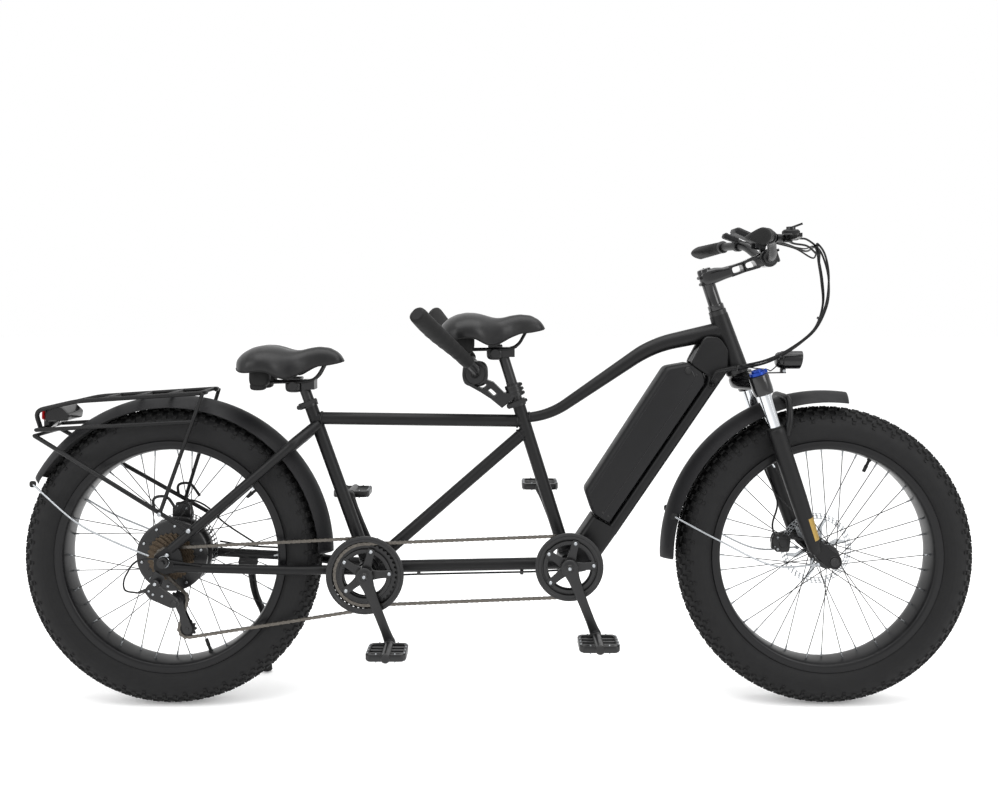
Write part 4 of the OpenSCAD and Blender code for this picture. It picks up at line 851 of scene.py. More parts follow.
def roller_chain(line, y):
    """Links along a closed (x, z) line with a half-inch pitch: narrow inner and wide outer plate
    pairs in turn, and a roller with its rivet at every joint."""
    at = even_line(line, 12.7)
    nxt = np.roll(at, -1, 0)
    middle, way = (at + nxt) / 2, unit(nxt - at)
    rows = len(at)
    along = np.stack([way[:, 0], np.zeros(rows), way[:, 1]], -1)
    across = np.tile([0.0, 1.0, 0.0], (rows, 1))
    up = np.cross(along, across)
    centre = np.stack([middle[:, 0], np.full(rows, y), middle[:, 1]], -1)
    joints = np.stack([at[:, 0], np.full(rows, y), at[:, 1]], -1)
    plain = link_plate(12.7, 9.2, 1.0)
    inner = join(moved(plain, [0, -1.7, 0]), moved(plain, [0, 1.7, 0]))
    outer = join(moved(plain, [0, -2.9, 0]), moved(plain, [0, 2.9, 0]))
    rivet = bar([0, -3.7, 0], [0, 3.7, 0], 3.6, 8, 0.3)
    roller = bar([0, -1.2, 0], [0, 1.2, 0], 7.8, 10, 0.2)
    return join(
        placed(inner, centre[::2], along[::2], across[::2], up[::2]),
        placed(outer, centre[1::2], along[1::2], across[1::2], up[1::2]),
        placed(join(rivet, roller), joints, along, across, up),
    )


def arc(centre, radius, start, stop, steps=40):
    """Points (x, z) round part of a circle, angles in degrees from forwards towards up."""
    t = np.radians(np.linspace(start, stop, steps))
    return np.stack([centre[0] + radius * np.cos(t), centre[2] + radius * np.sin(t)], -1)


def tangent_angle(a, ra, b, rb, crossed=False, below=False):
    """Angle in degrees at which a straight run leaves wheel a for wheel b: the direction from a to b
    plus or minus the arc cosine of (ra -+ rb) over their distance."""
    v = b - a
    span = math.degrees(math.acos((ra + rb if crossed else ra - rb) / math.hypot(v[0], v[2])))
    return math.degrees(math.atan2(v[2], v[0])) + (-span if below else span)


GUIDE = REAR + [29, 0, -97]
IDLER = REAR + [52, 0, -168]
top_run = tangent_angle(STOKER, TIMING_R, CAPTAIN, TIMING_R)
low_run = 2 * math.degrees(math.atan2(20, 497)) - top_run
timing_line = np.concatenate(
    [arc(CAPTAIN, TIMING_R, low_run, top_run), arc(STOKER, TIMING_R, top_run, low_run + 360)]
)
add_piece(
    "timing_chain_links",
    roller_chain(timing_line, -74),
    CHAIN_STEEL,
    "frame",
    "timing_chain",
    sharp=40,
)

ring_top = tangent_angle(REAR, COG_R, STOKER, DRIVE_R)
cog_leave = tangent_angle(REAR, COG_R, GUIDE, PULLEY_R, crossed=True, below=True)
idler_run = tangent_angle(GUIDE, PULLEY_R, IDLER, PULLEY_R, crossed=True)
low_angle = tangent_angle(IDLER, PULLEY_R, STOKER, DRIVE_R, below=True)
drive_line = np.concatenate([
    arc(STOKER, DRIVE_R, low_angle, ring_top, 60),
    arc(REAR, COG_R, ring_top, 360 + cog_leave, 24),
    arc(GUIDE, PULLEY_R, cog_leave + 180, idler_run, 16),
    arc(IDLER, PULLEY_R, idler_run + 180, low_angle + 360, 18),
])
add_piece(
    "drive_chain_links",
    roller_chain(drive_line, -64),
    CHAIN_STEEL,
    "frame",
    "drive_chain",
    sharp=40,
)


def free_cogs():
    """Seven toothed cogs five millimetres apart, growing inwards, each with a spacer step
    behind it."""
    parts = []
    for n, teeth in enumerate((14, 16, 18, 20, 22, 24, 28)):
        y = -64 + 5 * n
        parts.append(
            toothed(REAR, y - 0.9, y + 0.9, COG_R + 4.3 * n + (3 if n else 0), teeth, 19 + 3.2 * n, 3.6)
        )
        parts.append(disc(REAR, y - 1, y + 3.5, 42 + 6.4 * n, 33.2, 0.5, 36))
    return join(*parts)


add_piece("freewheel_cogs", free_cogs(), COG_STEEL, "freewheel", "freewheel", sharp=25)
add_piece(
    "freewheel_lock_ring",
    join(disc(REAR, -67.5, -64, 40, 33.2, 0.8, 36), bolts(REAR, 18.3, 8, -68, -66, 2.4)),
    ANODISED,
    "freewheel",
)


def spider_arm(centre, angle):
    """One tapering arm of the spider, from the hub out to the guard."""
    x, z = centre[0], centre[2]
    outline = [
        (x + 12, z + 13), (x + 34, z + 9.5), (x + 50, z + 9), (x + 60, z + 11), (x + 66, z + 7),
        (x + 66, z - 7), (x + 60, z - 11), (x + 50, z - 9), (x + 34, z - 9.5), (x + 12, z - 13),
    ]
    part = plate(softened(outline, 3, 3), -84, -79.5, 0.9)
    return turn_y(part[0], centre, angle), part[1]


def crank_arm(centre, side):
    """A forged arm: rounded sections along it, 39 wide and 14 thick at the axle, drawn in to 22
    by 12 and swelling again to 27.5 at the pedal eye, and the cap over its bolt."""
    way = -side * np.array([math.cos(CRANK_REST), 0, math.sin(CRANK_REST)])
    square = np.array([-way[2], 0, way[0]])
    across = np.array([0.0, side, 0.0])
    run = np.array([-20, -17, -10, 0, 12, 30, 60, 100, 140, 158, 166, 172.5, 180, 184.5, 186.5])
    width = np.array([8, 24, 36, 39, 36, 29, 25, 22.5, 22, 24, 26.5, 27.5, 23, 14, 5])
    thick = np.array([7, 12, 14, 14, 13.6, 13, 12.4, 12, 12, 12.6, 13.4, 13.8, 12.5, 10, 6])
    t = TAU * (np.arange(20) + 0.5) / 20
    power = lambda c: np.sign(c) * np.abs(c) ** 0.55
    ring = np.stack([power(np.cos(t)), power(np.sin(t))], -1)
    middle = centre + run[:, None] * way + 92 * across
    wide = ring[None, :, :1] * width[:, None, None] / 2 * square
    deep = ring[None, :, 1:] * thick[:, None, None] / 2 * across
    rings = middle[:, None] + wide + deep
    arm = loft(rings)
    y = 92 * side
    eye = centre + 172.5 * way
    cap = disc(centre, *sorted((y + side * 5, y + side * 8.2)), 19, edge=1.2, turns=28)
    boss = disc(eye, *sorted((y - side * 7.4, y + side * 7.4)), 25, edge=1.4, turns=32)
    return join(arm, boss), cap


def crankset(name, centre, guard_r, body, node, rings):
    """Guard with a rolled rim, five arms, toothed rings, ring bolts, two arms and the spindle."""
    guard = lathe(
        [
            (-81, guard_r - 9), (-82.6, guard_r - 7), (-82.8, guard_r - 1.5), (-81.6, guard_r),
            (-79.6, guard_r), (-79, guard_r - 1.4), (-79, guard_r - 9),
        ],
        centre,
        110,
    )
    inner = lathe([(-82, 56), (-82, 63), (-79, 64), (-79, 55)], centre, 90)
    arms = [spider_arm(centre, CRANK_REST + TAU * n / 5) for n in range(5)]
    hub = disc(centre, -98, -62, 43, 20.4, 1.2, 48)
    outer_band = lathe(
        [(-81.8, guard_r - 14), (-81.8, guard_r - 8), (-79.4, guard_r - 8), (-79.4, guard_r - 14)],
        centre,
        90,
    )
    right, right_cap = crank_arm(centre, -1)
    left, left_cap = crank_arm(centre, 1)
    add_piece(name + "_arms", join(right, left), ANODISED, body, node, sharp=45)
    add_piece(
        name + "_guard_and_spider",
        join(guard, inner, hub, outer_band, *arms),
        ANODISED,
        body,
        sharp=30,
    )
    plates = [toothed(centre, y - 1.2, y + 1.2, r, teeth, 52, 4.2) for y, r, teeth in rings]
    add_piece(name + "_toothed_rings", join(*plates), ANODISED, body, sharp=25)
    add_piece(
        name + "_ring_bolts", bolts(centre, 59, 5, -86, -60, 9, CRANK_REST), ZINC, body
    )
    dust_caps = join(right_cap, left_cap)
    add_piece(name + "_dust_caps", dust_caps, GLOSS_PLASTIC, body)
    add_piece(
        name + "_axle_bolts",
        join(
            disc(centre, -101, -99.6, 9, edge=0.6, turns=6), disc(centre, 99.6, 101, 9, edge=0.6, turns=6)
        ),
        ZINC,
        body,
    )
    add_piece(
        name + "_spindle",
        bar(centre + [0, -86, 0], centre + [0, 86, 0], 19.9, 40),
        ANODISED,
        body,
    )


crankset("captain_crank", CAPTAIN, 83, "captain_crankset", "captain_cranks", ((-74, TIMING_R, 38),))
crankset(
    "stoker_crank",
    STOKER,
    95,
    "stoker_crankset",
    "stoker_cranks",
    ((-74, TIMING_R, 38), (-64, DRIVE_R, 44)),
)


def pedal(centre, side):
    """Alloy platform pedal: a bevelled frame 95 by 87 with three cross ribs, an axle tube, its
    bearing, traction pins on both faces and the axle's end in the crank."""
    eye = centre - side * 172.5 * np.array([math.cos(CRANK_REST), 0, math.sin(CRANK_REST)])
    middle = np.array([eye[0], side * 155.5, eye[2]])
    half_x, half_y = 47.5, 43.5
    corner = [
        (-half_x, -half_y + 12), (-half_x + 8, -half_y), (half_x - 8, -half_y), (half_x, -half_y + 12),
        (half_x, half_y - 12), (half_x - 8, half_y), (-half_x + 8, half_y), (-half_x, half_y - 12),
    ]
    outer = softened(corner, 4, 4)
    inner = outer * 0.82
    rows = []
    for line, z in (
        (outer * 0.97, -8), (outer, -6), (outer, 6), (outer * 0.97, 8), (inner * 1.02, 8), (inner, 6),
        (inner, -6), (inner * 1.02, -8),
    ):
        rows.append(np.concatenate([line, np.full((len(line), 1), z)], 1))
    body = moved(loft(np.array(rows), ring=True), middle)
    ribs = [block(middle + [0, y, 0], (84, 7, 11), 1.5) for y in (-20, 0, 20)]
    tube_part = bar(middle - [0, 46.5, 0], middle + [0, 46.5, 0], 23, 28, 2)
    bearing = bar(middle - side * np.array([0, 47.4, 0]), middle - side * np.array([0, 40, 0]), 25, 28, 1)
    spots = [(x, y) for x in (-43, 43) for y in (-30, -10, 10, 30)] + [
        (x, y) for x in (-22, 22) for y in (-39.6, 39.6)
    ]
    pins = [bar(middle + [x, y, -10.4], middle + [x, y, 10.4], 3.6, 8, 0.5) for x, y in spots]
    return join(body, *ribs, tube_part, bearing), join(*pins), bar(
        [eye[0], side * 98, eye[2]], [eye[0], side * 109, eye[2]], 13, 20, 0.8
    )


for rider, centre in (("captain", CAPTAIN), ("stoker", STOKER)):
    for hand, side in (("right", -1), ("left", 1)):
        platform, pins, shoulder = pedal(centre, side)
        label = f"{rider}_{hand}_pedal"
        add_piece(
            label + "_platform", platform, ANODISED, label, f"{rider}_pedal_{hand}", sharp=35
        )
        add_piece(label + "_pins", pins, ZINC, label)
        add_piece(label + "_axle", shoulder, ZINC, rider + "_crankset")


# ---- Frame ----


def weld(centre, a, b, r, side_r=3.0):
    """A raised bead where a bar of radius r meets another: a thin torus about the line a to b at
    the point centre, rippled like stacked weld puddles."""
    way = unit(np.asarray(b, float) - np.asarray(a, float))
    n = unit(np.cross(way, [0, 1.0, 0.0]))
    m = np.cross(way, n)
    t = TAU * np.arange(48) / 48
    ring = centre + r * (np.cos(t)[:, None] * n + np.sin(t)[:, None] * m)
    return tube(ring, side_r * 2 * (1 + 0.08 * np.cos(16 * t)), 8, closed=True)


def dt_point(s, t):
    """A point of the down tube's side plane: s up its lower edge, t square to it."""
    return DT_ZERO + s * DT_S + t * DT_T


HEAD_FOOT = CROWN + 36 * STEER_UP - 31 * STEER_OUT
run = HEAD_FOOT - CAPTAIN
DT_LEN = math.sqrt((run**2).sum() - 61**2)
angle = math.atan2(run[2], run[0]) + math.asin(61 / np.linalg.norm(run))
DT_S = np.array([math.cos(angle), 0, math.sin(angle)])
DT_T = np.array([-math.sin(angle), 0, math.cos(angle)])
DT_ZERO = CAPTAIN - 61 * DT_T
BATTERY_S = DT_LEN - 444 - 31


def beam(stations):
    """A box beam up the down tube: each station is (s, low t, high t, half width, corner radius),
    its section a rounded rectangle drawn with 32 points."""
    a = TAU * (np.arange(32) + 0.5) / 32
    rings = []
    for s, low, high, half, r in stations:
        r = min(r, (high - low) / 2 - 0.1)
        y = np.sign(np.cos(a)) * (half - r) + r * np.cos(a)
        t = (low + high) / 2 + np.sign(np.sin(a)) * ((high - low) / 2 - r) + r * np.sin(a)
        rings.append(DT_ZERO + s * DT_S + t[:, None] * DT_T + y[:, None] * np.array([0, 1.0, 0]))
    return loft(np.array(rings))


down_tube = join(
    beam(
        [
            (-8, 22, 70, 30, 12), (4, 12, 75, 36, 14), (24, 2, 76, 37.8, 14),
            (BATTERY_S - 6, 0.5, 76, 38, 13), (BATTERY_S - 4, 0.5, 60, 38, 13),
            (BATTERY_S - 1, 0.3, 29, 38, 12),
        ]
    ),
    beam(
        [
            (BATTERY_S - 12, 0.3, 28.4, 38, 12),
            (BATTERY_S + 220, 0.3, 28.4, 38, 12),
            (BATTERY_S + 425, 0.3, 28.4, 38, 12),
        ]
    ),
    beam(
        [
            (BATTERY_S + 424, 0.3, 28.4, 38, 12), (BATTERY_S + 436, 0.3, 34, 38, 12),
            (BATTERY_S + 447, 0.3, 44, 38, 12), (BATTERY_S + 448, 0.3, 88, 37.8, 13),
            (DT_LEN + 4, 2, 90, 32, 14), (DT_LEN + 14, 12, 88, 24, 12),
        ]
    ),
)
add_piece("down_tube_beam", down_tube, POWDER_COAT, "frame", "down_tube", sharp=40)

# Broad gusset plates that carry the beam on up to the top tube and round the back of the head tube
gusset_corners = ((-34, 88), (44, 97), (62, 66), (48, 30), (4, 2), (-34, 2))
gusset = softened([(DT_ZERO + (DT_LEN + s) * DT_S + t * DT_T)[[0, 2]] for s, t in gusset_corners], 12, 6)
add_piece(
    "head_gusset_plates",
    pair(plate(gusset, -37.6, -20, 2.6)),
    POWDER_COAT,
    "frame",
    sharp=40,
)

# Pressed groove and cable port beside the head tube, on both flanks
groove_path = curve(
    [
        dt_point(DT_LEN + 28, 93),
        dt_point(DT_LEN + 50, 66),
        dt_point(DT_LEN + 38, 34),
        dt_point(DT_LEN + 2, 10),
    ],
    8,
)
groove = tube(groove_path + [0, -36.4, 0], 3.0, 10)
add_piece("head_gusset_bead", join(groove, mirrored(groove)), POWDER_COAT, "frame")
PORT = BAR + [-146, -34, -314]
port_ring = tube(
    PORT + np.stack(
        [9.5 * np.cos(TAU * np.arange(24) / 24), np.full(24, -4.6), 8 * np.sin(TAU * np.arange(24) / 24)],
        -1,
    ),
    4.4,
    10,
    closed=True,
)
add_piece("cable_port_grommet", port_ring, GRIP_RUBBER, "frame")

top_start = CAPTAIN + 371 * CAPTAIN_UP
top_end = CROWN + 137 * STEER_UP
top_path = rounded_path([top_start, top_start + [64, 0, 4], top_end + [-179, 0, -39], top_end], 55, 14)
share = np.linspace(0, 1, len(top_path))
run_length = np.concatenate([[0], np.cumsum(np.linalg.norm(np.diff(top_path, axis=0), axis=1))])
top_width = np.interp(run_length / run_length[-1], [0, 0.18, 0.5, 0.62, 0.92, 1], [25, 27, 32, 37, 42, 45])
add_piece(
    "front_top_tube_bar",
    tube(top_path, top_width, 40),
    POWDER_COAT,
    "frame",
    "front_top_tube",
    sharp=60,
)

stay_line = rounded_path(
    [STOKER + [-12, 40, 1], STOKER + [-92, 46, 5], STOKER + [-160, 67, 8], REAR + [24, 84, -14]], 24, 8
)
stay = tube(stay_line, 22.6, 32)
dropout = plate(
    outline_at(
        REAR, ((-24, 14), (-24, -22), (0, -30), (34, -26), (48, -8), (40, 26), (22, 44), (6, 36)), 6
    ),
    80,
    88,
    1.2,
)
bracket = plate(
    softened(
        [(-648.5 + x, 324 + z) for x, z in ((-20, 27), (-26, 2), (-12, -16), (12, -16), (26, 2), (20, 27))],
        5,
    ),
    72,
    82,
    1.2,
)
stand_axis = unit(np.array([-0.117, 0.985, 0.127]))
PIVOT = np.array([-648.5, 93.0, 324.0])
pin = bar(PIVOT - 13 * stand_axis, PIVOT + 10.8 * stand_axis, 9.9, 24)
add_piece(
    "chain_stay_bars",
    join(pair(stay), pair(dropout), bracket, pin),
    POWDER_COAT,
    "frame",
    "chain_stays",
    sharp=40,
)

seat_stay_top = STOKER + 380 * STOKER_UP
seat_stay_foot = REAR + [16, 84, 30]
fall = (seat_stay_foot[2] - seat_stay_top[2]) / (seat_stay_foot[0] - seat_stay_top[0])
seat_stay_line = rounded_path(
    [seat_stay_top + [0, 10, 0], seat_stay_top + [-46, 75, -46 * fall], seat_stay_foot], 12, 8
)
seat_stay = tube(
    seat_stay_line, np.interp(np.linspace(0, 1, len(seat_stay_line)), [0, 0.85, 1], [26.8, 25.6, 22]), 32
)
bridge_at = seat_stay_top + [-46, 0, -46 * fall]
add_piece(
    "seat_stay_bars",
    join(pair(seat_stay), bar(bridge_at - [0, 71, 0], bridge_at + [0, 71, 0], 13.8)),
    POWDER_COAT,
    "frame",
    "seat_stays",
    sharp=40,
)

top_left, top_right = STOKER + 397 * STOKER_UP, CAPTAIN + 363 * CAPTAIN_UP
diagonal_end = CAPTAIN + 339 * CAPTAIN_UP
beads = [
    weld(top_left + 16.5 * unit(top_right - top_left), top_left, top_right, 15.2),
    weld(top_right - 16.5 * unit(top_right - top_left), top_left, top_right, 15.2),
    weld(diagonal_end - 19 * unit(diagonal_end - STOKER), STOKER, diagonal_end, 14.6),
    weld(STOKER + 26 * unit(diagonal_end - STOKER), STOKER, diagonal_end, 14.6),
    weld(STOKER + 24.5 * unit(CAPTAIN - STOKER), STOKER, CAPTAIN, 14.6),
    weld(CAPTAIN - [0, 0, 10] - 23 * unit(CAPTAIN - STOKER), STOKER, CAPTAIN, 14.6),
    weld(CAPTAIN + 25 * CAPTAIN_UP, CAPTAIN, CAPTAIN_TOP, 15.4),
    weld(STOKER + 25 * STOKER_UP, STOKER, STOKER_TOP, 15.4),
    weld(top_start + [16.5, 0, 1], top_start, top_start + [64, 0, 4], 12.4, 2.6),
]
add_piece("frame_weld_beads", join(*beads), POWDER_COAT, "frame")

for node, material in (
    ("head_tube", POWDER_COAT), ("captain_seat_tube", POWDER_COAT), ("stoker_seat_tube", POWDER_COAT),
    ("rear_top_tube", POWDER_COAT),
    ("diagonal_tube", POWDER_COAT), ("boom_tube", POWDER_COAT), ("seat_collars", ANODISED),
    ("captain_qr_lever", ANODISED),
    ("stoker_qr_lever", ANODISED), ("axle_and_bearings", ANODISED), ("captain_seatpost", ANODISED),
    ("stoker_seatpost", ANODISED),
    ("lockout_knob", BLUE_ANODISED), ("brake_lever_right", ANODISED), ("brake_lever_left", ANODISED),
    ("shift_lever", GLOSS_PLASTIC),
):
    for slot in nodes[node].material_slots:
        slot.material = material


def axle_end(side):
    """Domed axle nut with its toothed washer and the threaded end, and a small fixing bolt ahead."""
    y = side * 88
    base = [REAR[0], 0, REAR[2]]
    parts = [
        disc(base, *sorted((y, y + side * 2.4)), 30, 12.2, 0.6, 40),
        disc(base, *sorted((y + side * 2.4, y + side * 10.8)), 25, 12.2, 1.8, 6),
        bar([base[0], y, base[2]], [base[0], y + side * 17.6, base[2]], 11.8, 24, 1.4),
        disc([base[0] + 9, 0, base[2] + 17], *sorted((y, y + side * 7)), 10, edge=1.6, turns=20),
    ]
    return join(*parts)


add_piece("rear_axle_nuts", join(axle_end(-1), axle_end(1)), ZINC, "frame")

# ---- Battery ----


def battery_case():
    """The case as a loft across the bicycle: its side outline, corners rounded, drawn in at both
    flanks by a quarter circle, so that every long edge is soft."""
    s0, s1 = BATTERY_S, BATTERY_S + 444
    outline = [
        (s0, 30), (s1 - 19, 30), (s1 - 1, 50), (s1, 91), (s1 - 42, 133.5), (s0 + 34, 126), (s0 - 2, 78)
    ]
    flat = softened(outline, 10, 6)
    p, n = outward(flat)
    rings = []
    for y, draw in (
        (-40, 5.4), (-39.6, 4.2), (-31, 1.0), (-29, 0.2), (0, 0), (29, 0.2), (31, 1.0), (39.6, 4.2),
        (40, 5.4),
    ):
        q = p - draw * (1 + 0.9 * np.clip(n[:, 1:], 0, 1)) * n
        rings.append(DT_ZERO + q[:, :1] * DT_S + q[:, 1:] * DT_T + np.array([0, y, 0]))
    return loft(np.array(rings))


add_piece(
    "battery_case_shell", battery_case(), CASE_PLASTIC, "battery_pack", "battery", sharp=50
)
s1 = BATTERY_S + 444
seam = [
    dt_point(BATTERY_S + 8, 58),
    dt_point(BATTERY_S + 200, 58),
    dt_point(s1 - 40, 58),
    dt_point(s1 - 22, 66),
    dt_point(s1 - 12, 82),
]
seam_line = curve(np.array(seam), 8) + [0, -39.9, 0]
ridge = [dt_point(BATTERY_S + 30, 112), dt_point(BATTERY_S + 200, 116), dt_point(s1 - 60, 120)]
ridge_line = np.array(ridge) + [0, -39.6, 0]
add_piece(
    "battery_case_seams",
    join(pair(tube(seam_line, 1.6, 8)), pair(tube(ridge_line, 1.4, 8))),
    GLOSS_PLASTIC,
    "battery_pack",
)
lock_at = dt_point(s1 - 19, 84)
add_piece(
    "battery_key_lock",
    join(
        disc(lock_at, -42.6, -39, 17, edge=1.0),
        disc(lock_at, -43, -42, 10.5, edge=0.5),
        block(lock_at + [0, -43, 0], (1.4, 0.9, 6), 0.4, (0, 20, 0)),
    ),
    ANODISED,
    "battery_pack",
)
plate_spots = [dt_point(BATTERY_S + 16, 60), dt_point(BATTERY_S + 16, 44), dt_point(BATTERY_S + 428, 60)]
screws = join(*[disc(p, -40.6, -39, 6, edge=0.8, turns=16) for p in plate_spots])
add_piece("battery_case_screws", pair(screws), ANODISED, "battery_pack")

# ---- Fork ----


def fork_point(x, y, z):
    """The point x ahead of the steering axis, y across and z up it from the fork crown."""
    return CROWN + x * STEER_OUT + z * STEER_UP + np.array([0.0, y, 0.0])


def steer_rings(rows, x, y, sides=40):
    """Turned shape about a line along the steering axis, at x ahead and y across; rows are
    (height, diameter)."""
    t = TAU * np.arange(sides) / sides
    rings = []
    for z, d in rows:
        rings.append(
            fork_point(x, y, z)
            + d / 2 * (np.cos(t)[:, None] * STEER_OUT + np.sin(t)[:, None] * np.array([0, 1.0, 0]))
        )
    return loft(np.array(rings))


crown_parts, tops = [], []
for side in (-1, 1):
    crown_parts.append(
        steer_rings(
            [(-36, 40), (-35, 46), (-30, 49), (-20, 50), (-6, 49.4), (6, 49.8), (12, 48), (13.6, 43)],
            28.8,
            80 * side,
        )
    )
    tops.append(steer_rings([(12, 34), (15, 34), (16.4, 30), (16.6, 20)], 28.8, 80 * side, 36))
arch_t = TAU * (np.arange(28) + 0.5) / 28
bridge_rings = []
for y, w, h, x, z in (
    (-80, 34, 30, 28.8, -10), (-64, 40, 31, 24, -6), (-40, 52, 33, 14, 0), (-20, 60, 34, 6, 3),
    (0, 62, 34.5, 4, 3.5), (20, 60, 34, 6, 3), (40, 52, 33, 14, 0), (64, 40, 31, 24, -6),
    (80, 34, 30, 28.8, -10),
):
    c, s = np.cos(arch_t), np.sin(arch_t)
    ex = np.sign(c) * np.abs(c) ** 0.6 * w / 2
    ez = np.sign(s) * np.abs(s) ** 0.6 * h / 2
    bridge_rings.append(fork_point(x, y, z) + ex[:, None] * STEER_OUT + ez[:, None] * STEER_UP)
crown_parts.append(loft(np.array(bridge_rings)))
add_piece(
    "fork_crown_forging",
    join(*crown_parts, steer_rings([(16, 44), (19, 50), (24, 54), (26, 50)], 0, 0)),
    GLOSS_PAINT,
    "steering",
    "fork_crown",
    sharp=45,
)
add_piece("fork_cap_left", tops[1], ANODISED, "steering")
add_piece(
    "steerer_tube", steer_rings([(20, 28.5), (222, 28.5)], 0, 0), ANODISED, "steering"
)
stanchions = [steer_rings([(-250, 31.9), (-34, 31.9)], 28.8, 80 * side, 48) for side in (-1, 1)]
add_piece("stanchion_tubes", join(*stanchions), CHROME, "steering")

lowers = []
for side in (-1, 1):
    y = 80 * side
    lowers.append(
        steer_rings(
            [
                (-122, 33), (-121.4, 37), (-123, 41), (-126, 44), (-134, 44.6), (-140, 43.6), (-150, 43.2),
                (-300, 42), (-360, 39), (-410, 35.4), (-430, 32), (-440, 26),
            ],
            28.8,
            y,
            40,
        )
    )
    foot = [
        (22, -404), (17, -430), (24, -452), (40, -478), (54, -490), (66, -493), (79, -484), (81, -470),
        (76, -458), (62, -440), (48, -420), (44, -400),
    ]
    flat = softened([(CROWN + x * STEER_OUT + z * STEER_UP)[[0, 2]] for x, z in foot], 4, 3)
    lowers.append(plate(flat, y - 8.5, y + 8.5, 2.4))
    lowers.append(disc(FRONT, *sorted((y - 11 * side, y + 10 * side)), 30, 12.1, 2.0, 40))
arch_line = [
    fork_point(48.8, -79, -146),
    fork_point(70, -79, -110),
    fork_point(84, -62, -74),
    fork_point(84.8, -40, -66),
    fork_point(84.8, 0, -65),
    fork_point(84.8, 40, -66),
    fork_point(84, 62, -74),
    fork_point(70, 79, -110),
    fork_point(48.8, 79, -146),
]
arch_smooth = curve(arch_line, 7)
lowers.append(
    tube(
        arch_smooth,
        np.interp(np.linspace(0, 1, len(arch_smooth)), [0, 0.2, 0.5, 0.8, 1], [24, 19, 17.6, 19, 24]),
        24,
        flat=0.8,
    )
)
add_piece(
    "fork_lower_casting", join(*lowers), POWDER_COAT, "fork_lower", "fork_lowers", sharp=40
)
wipers = [
    steer_rings([(-124, 36), (-121, 40), (-118.5, 39), (-117.4, 34)], 28.8, 80 * side, 40)
    for side in (-1, 1)
]
add_piece("fork_dust_wipers", join(*wipers), GRIP_RUBBER, "fork_lower")
axle_ends = join(
    bar(FRONT - [0, 93.6, 0], FRONT - [0, 66, 0], 11.9, 28),
    bar(FRONT + [0, 66, 0], FRONT + [0, 93.6, 0], 11.9, 28),
    disc(FRONT, -93, -90, 22, 8, 0.8, 36),
    disc(FRONT, 90, 93, 22, 8, 0.8, 36),
)
add_piece(
    "front_axle_bar",
    join(axle_ends, bar(FRONT - [0, 66, 0], FRONT + [0, 66, 0], 11.9, 28)),
    ANODISED,
    "fork_lower",
)
film = []
t = np.radians(np.linspace(205, 262, 12))
for z in (-408, -352):
    d = np.interp(z, [-410, -360], [35.4, 39]) + 0.7
    film.append(
        fork_point(28.8, -80, z)
        + d / 2 * (np.cos(t)[:, None] * STEER_OUT * -1 + np.sin(t)[:, None] * np.array([0, 1.0, 0]))
    )
front_skin = np.array(film)
back_skin = front_skin + np.array([0, 0.8, 0])
strip = np.concatenate([front_skin, back_skin[:, ::-1]], axis=1)
add_piece("fork_leg_film", loft(strip), GOLD_FILM, "fork_lower")


# ---- Brake calipers ----


def caliper(centre, y, turn):
    """Two-piece disc caliper: rounded halves either side of the rotor, a bridge beyond its rim,
    two body bolts and a pad pin, turned about its centre."""
    c = np.asarray(centre, float)
    parts, metal = [], []
    for y0, y1 in ((y - 12, y - 2.4), (y + 2.4, y + 9)):
        outline = softened(
            [
                (c[0] - 22, c[2] - 20), (c[0] + 16, c[2] - 24), (c[0] + 24, c[2] - 9),
                (c[0] + 24, c[2] + 20), (c[0] + 4, c[2] + 26), (c[0] - 22, c[2] + 15),
            ],
            6,
        )
        parts.append(plate(outline, y0, y1, 2.0))
        parts.append(
            disc(
                [c[0], 0, c[2] - 4],
                *((y0 - 1.4, y1) if y0 < y - 4 else (y0, y1 + 0.6)),
                23,
                edge=1.6,
                turns=30,
            )
        )
    parts.append(block(c + [0, y - 1.5, 21], (30, 14, 7), 2.5))
    for x in (-14, 15):
        metal.append(disc([c[0] + x, 0, c[2] + 10], y - 14, y - 11, 7.5, edge=0.9, turns=6))
    metal.append(bar(c + [-8, y - 12.6, 17], c + [-8, y + 9.2, 17], 3.2, 12, 0.4))
    return [(turn_y(join(*p)[0], c, turn), join(*p)[1]) for p in (parts, metal)]


rear_body, rear_metal = caliper(REAR + [-2, 0, 92], 62, 0.0)
adaptor = plate(
    outline_at(
        REAR, ((-22, 74), (-20, 106), (18, 110), (24, 84), (18, 42), (4, 33), (-10, 27), (-19, 32)), 5
    ),
    71,
    79.6,
    1.4,
)
add_piece(
    "rear_caliper_body",
    join(rear_body, adaptor),
    ANODISED,
    "frame",
    "rear_brake_caliper",
    sharp=40,
)
add_piece("rear_caliper_bolts", rear_metal, ZINC, "frame")
front_body, front_metal = caliper(FRONT + [-91, 0, 14], 54, math.radians(90))
at = FRONT + [-91, 0, 14]
lug = plate(outline_at(at, ((-10, 20), (26, 31), (46, 22), (46, 8), (10, 9)), 4), 59.5, 73, 1.2)
add_piece(
    "front_caliper_body",
    join(front_body, lug),
    ANODISED,
    "fork_lower",
    "front_brake_caliper",
    sharp=40,
)
add_piece("front_caliper_bolts", front_metal, ZINC, "fork_lower")


# ---- Steering: stem, bar, grips, controls, lamp ----

riser = steer_rings(
    [
        (190, 39), (191, 40), (203, 40), (204, 35), (206, 33.6), (258, 33.6), (262, 36), (292, 36.6),
        (297, 33), (298.5, 24),
    ],
    0,
    0,
    44,
)


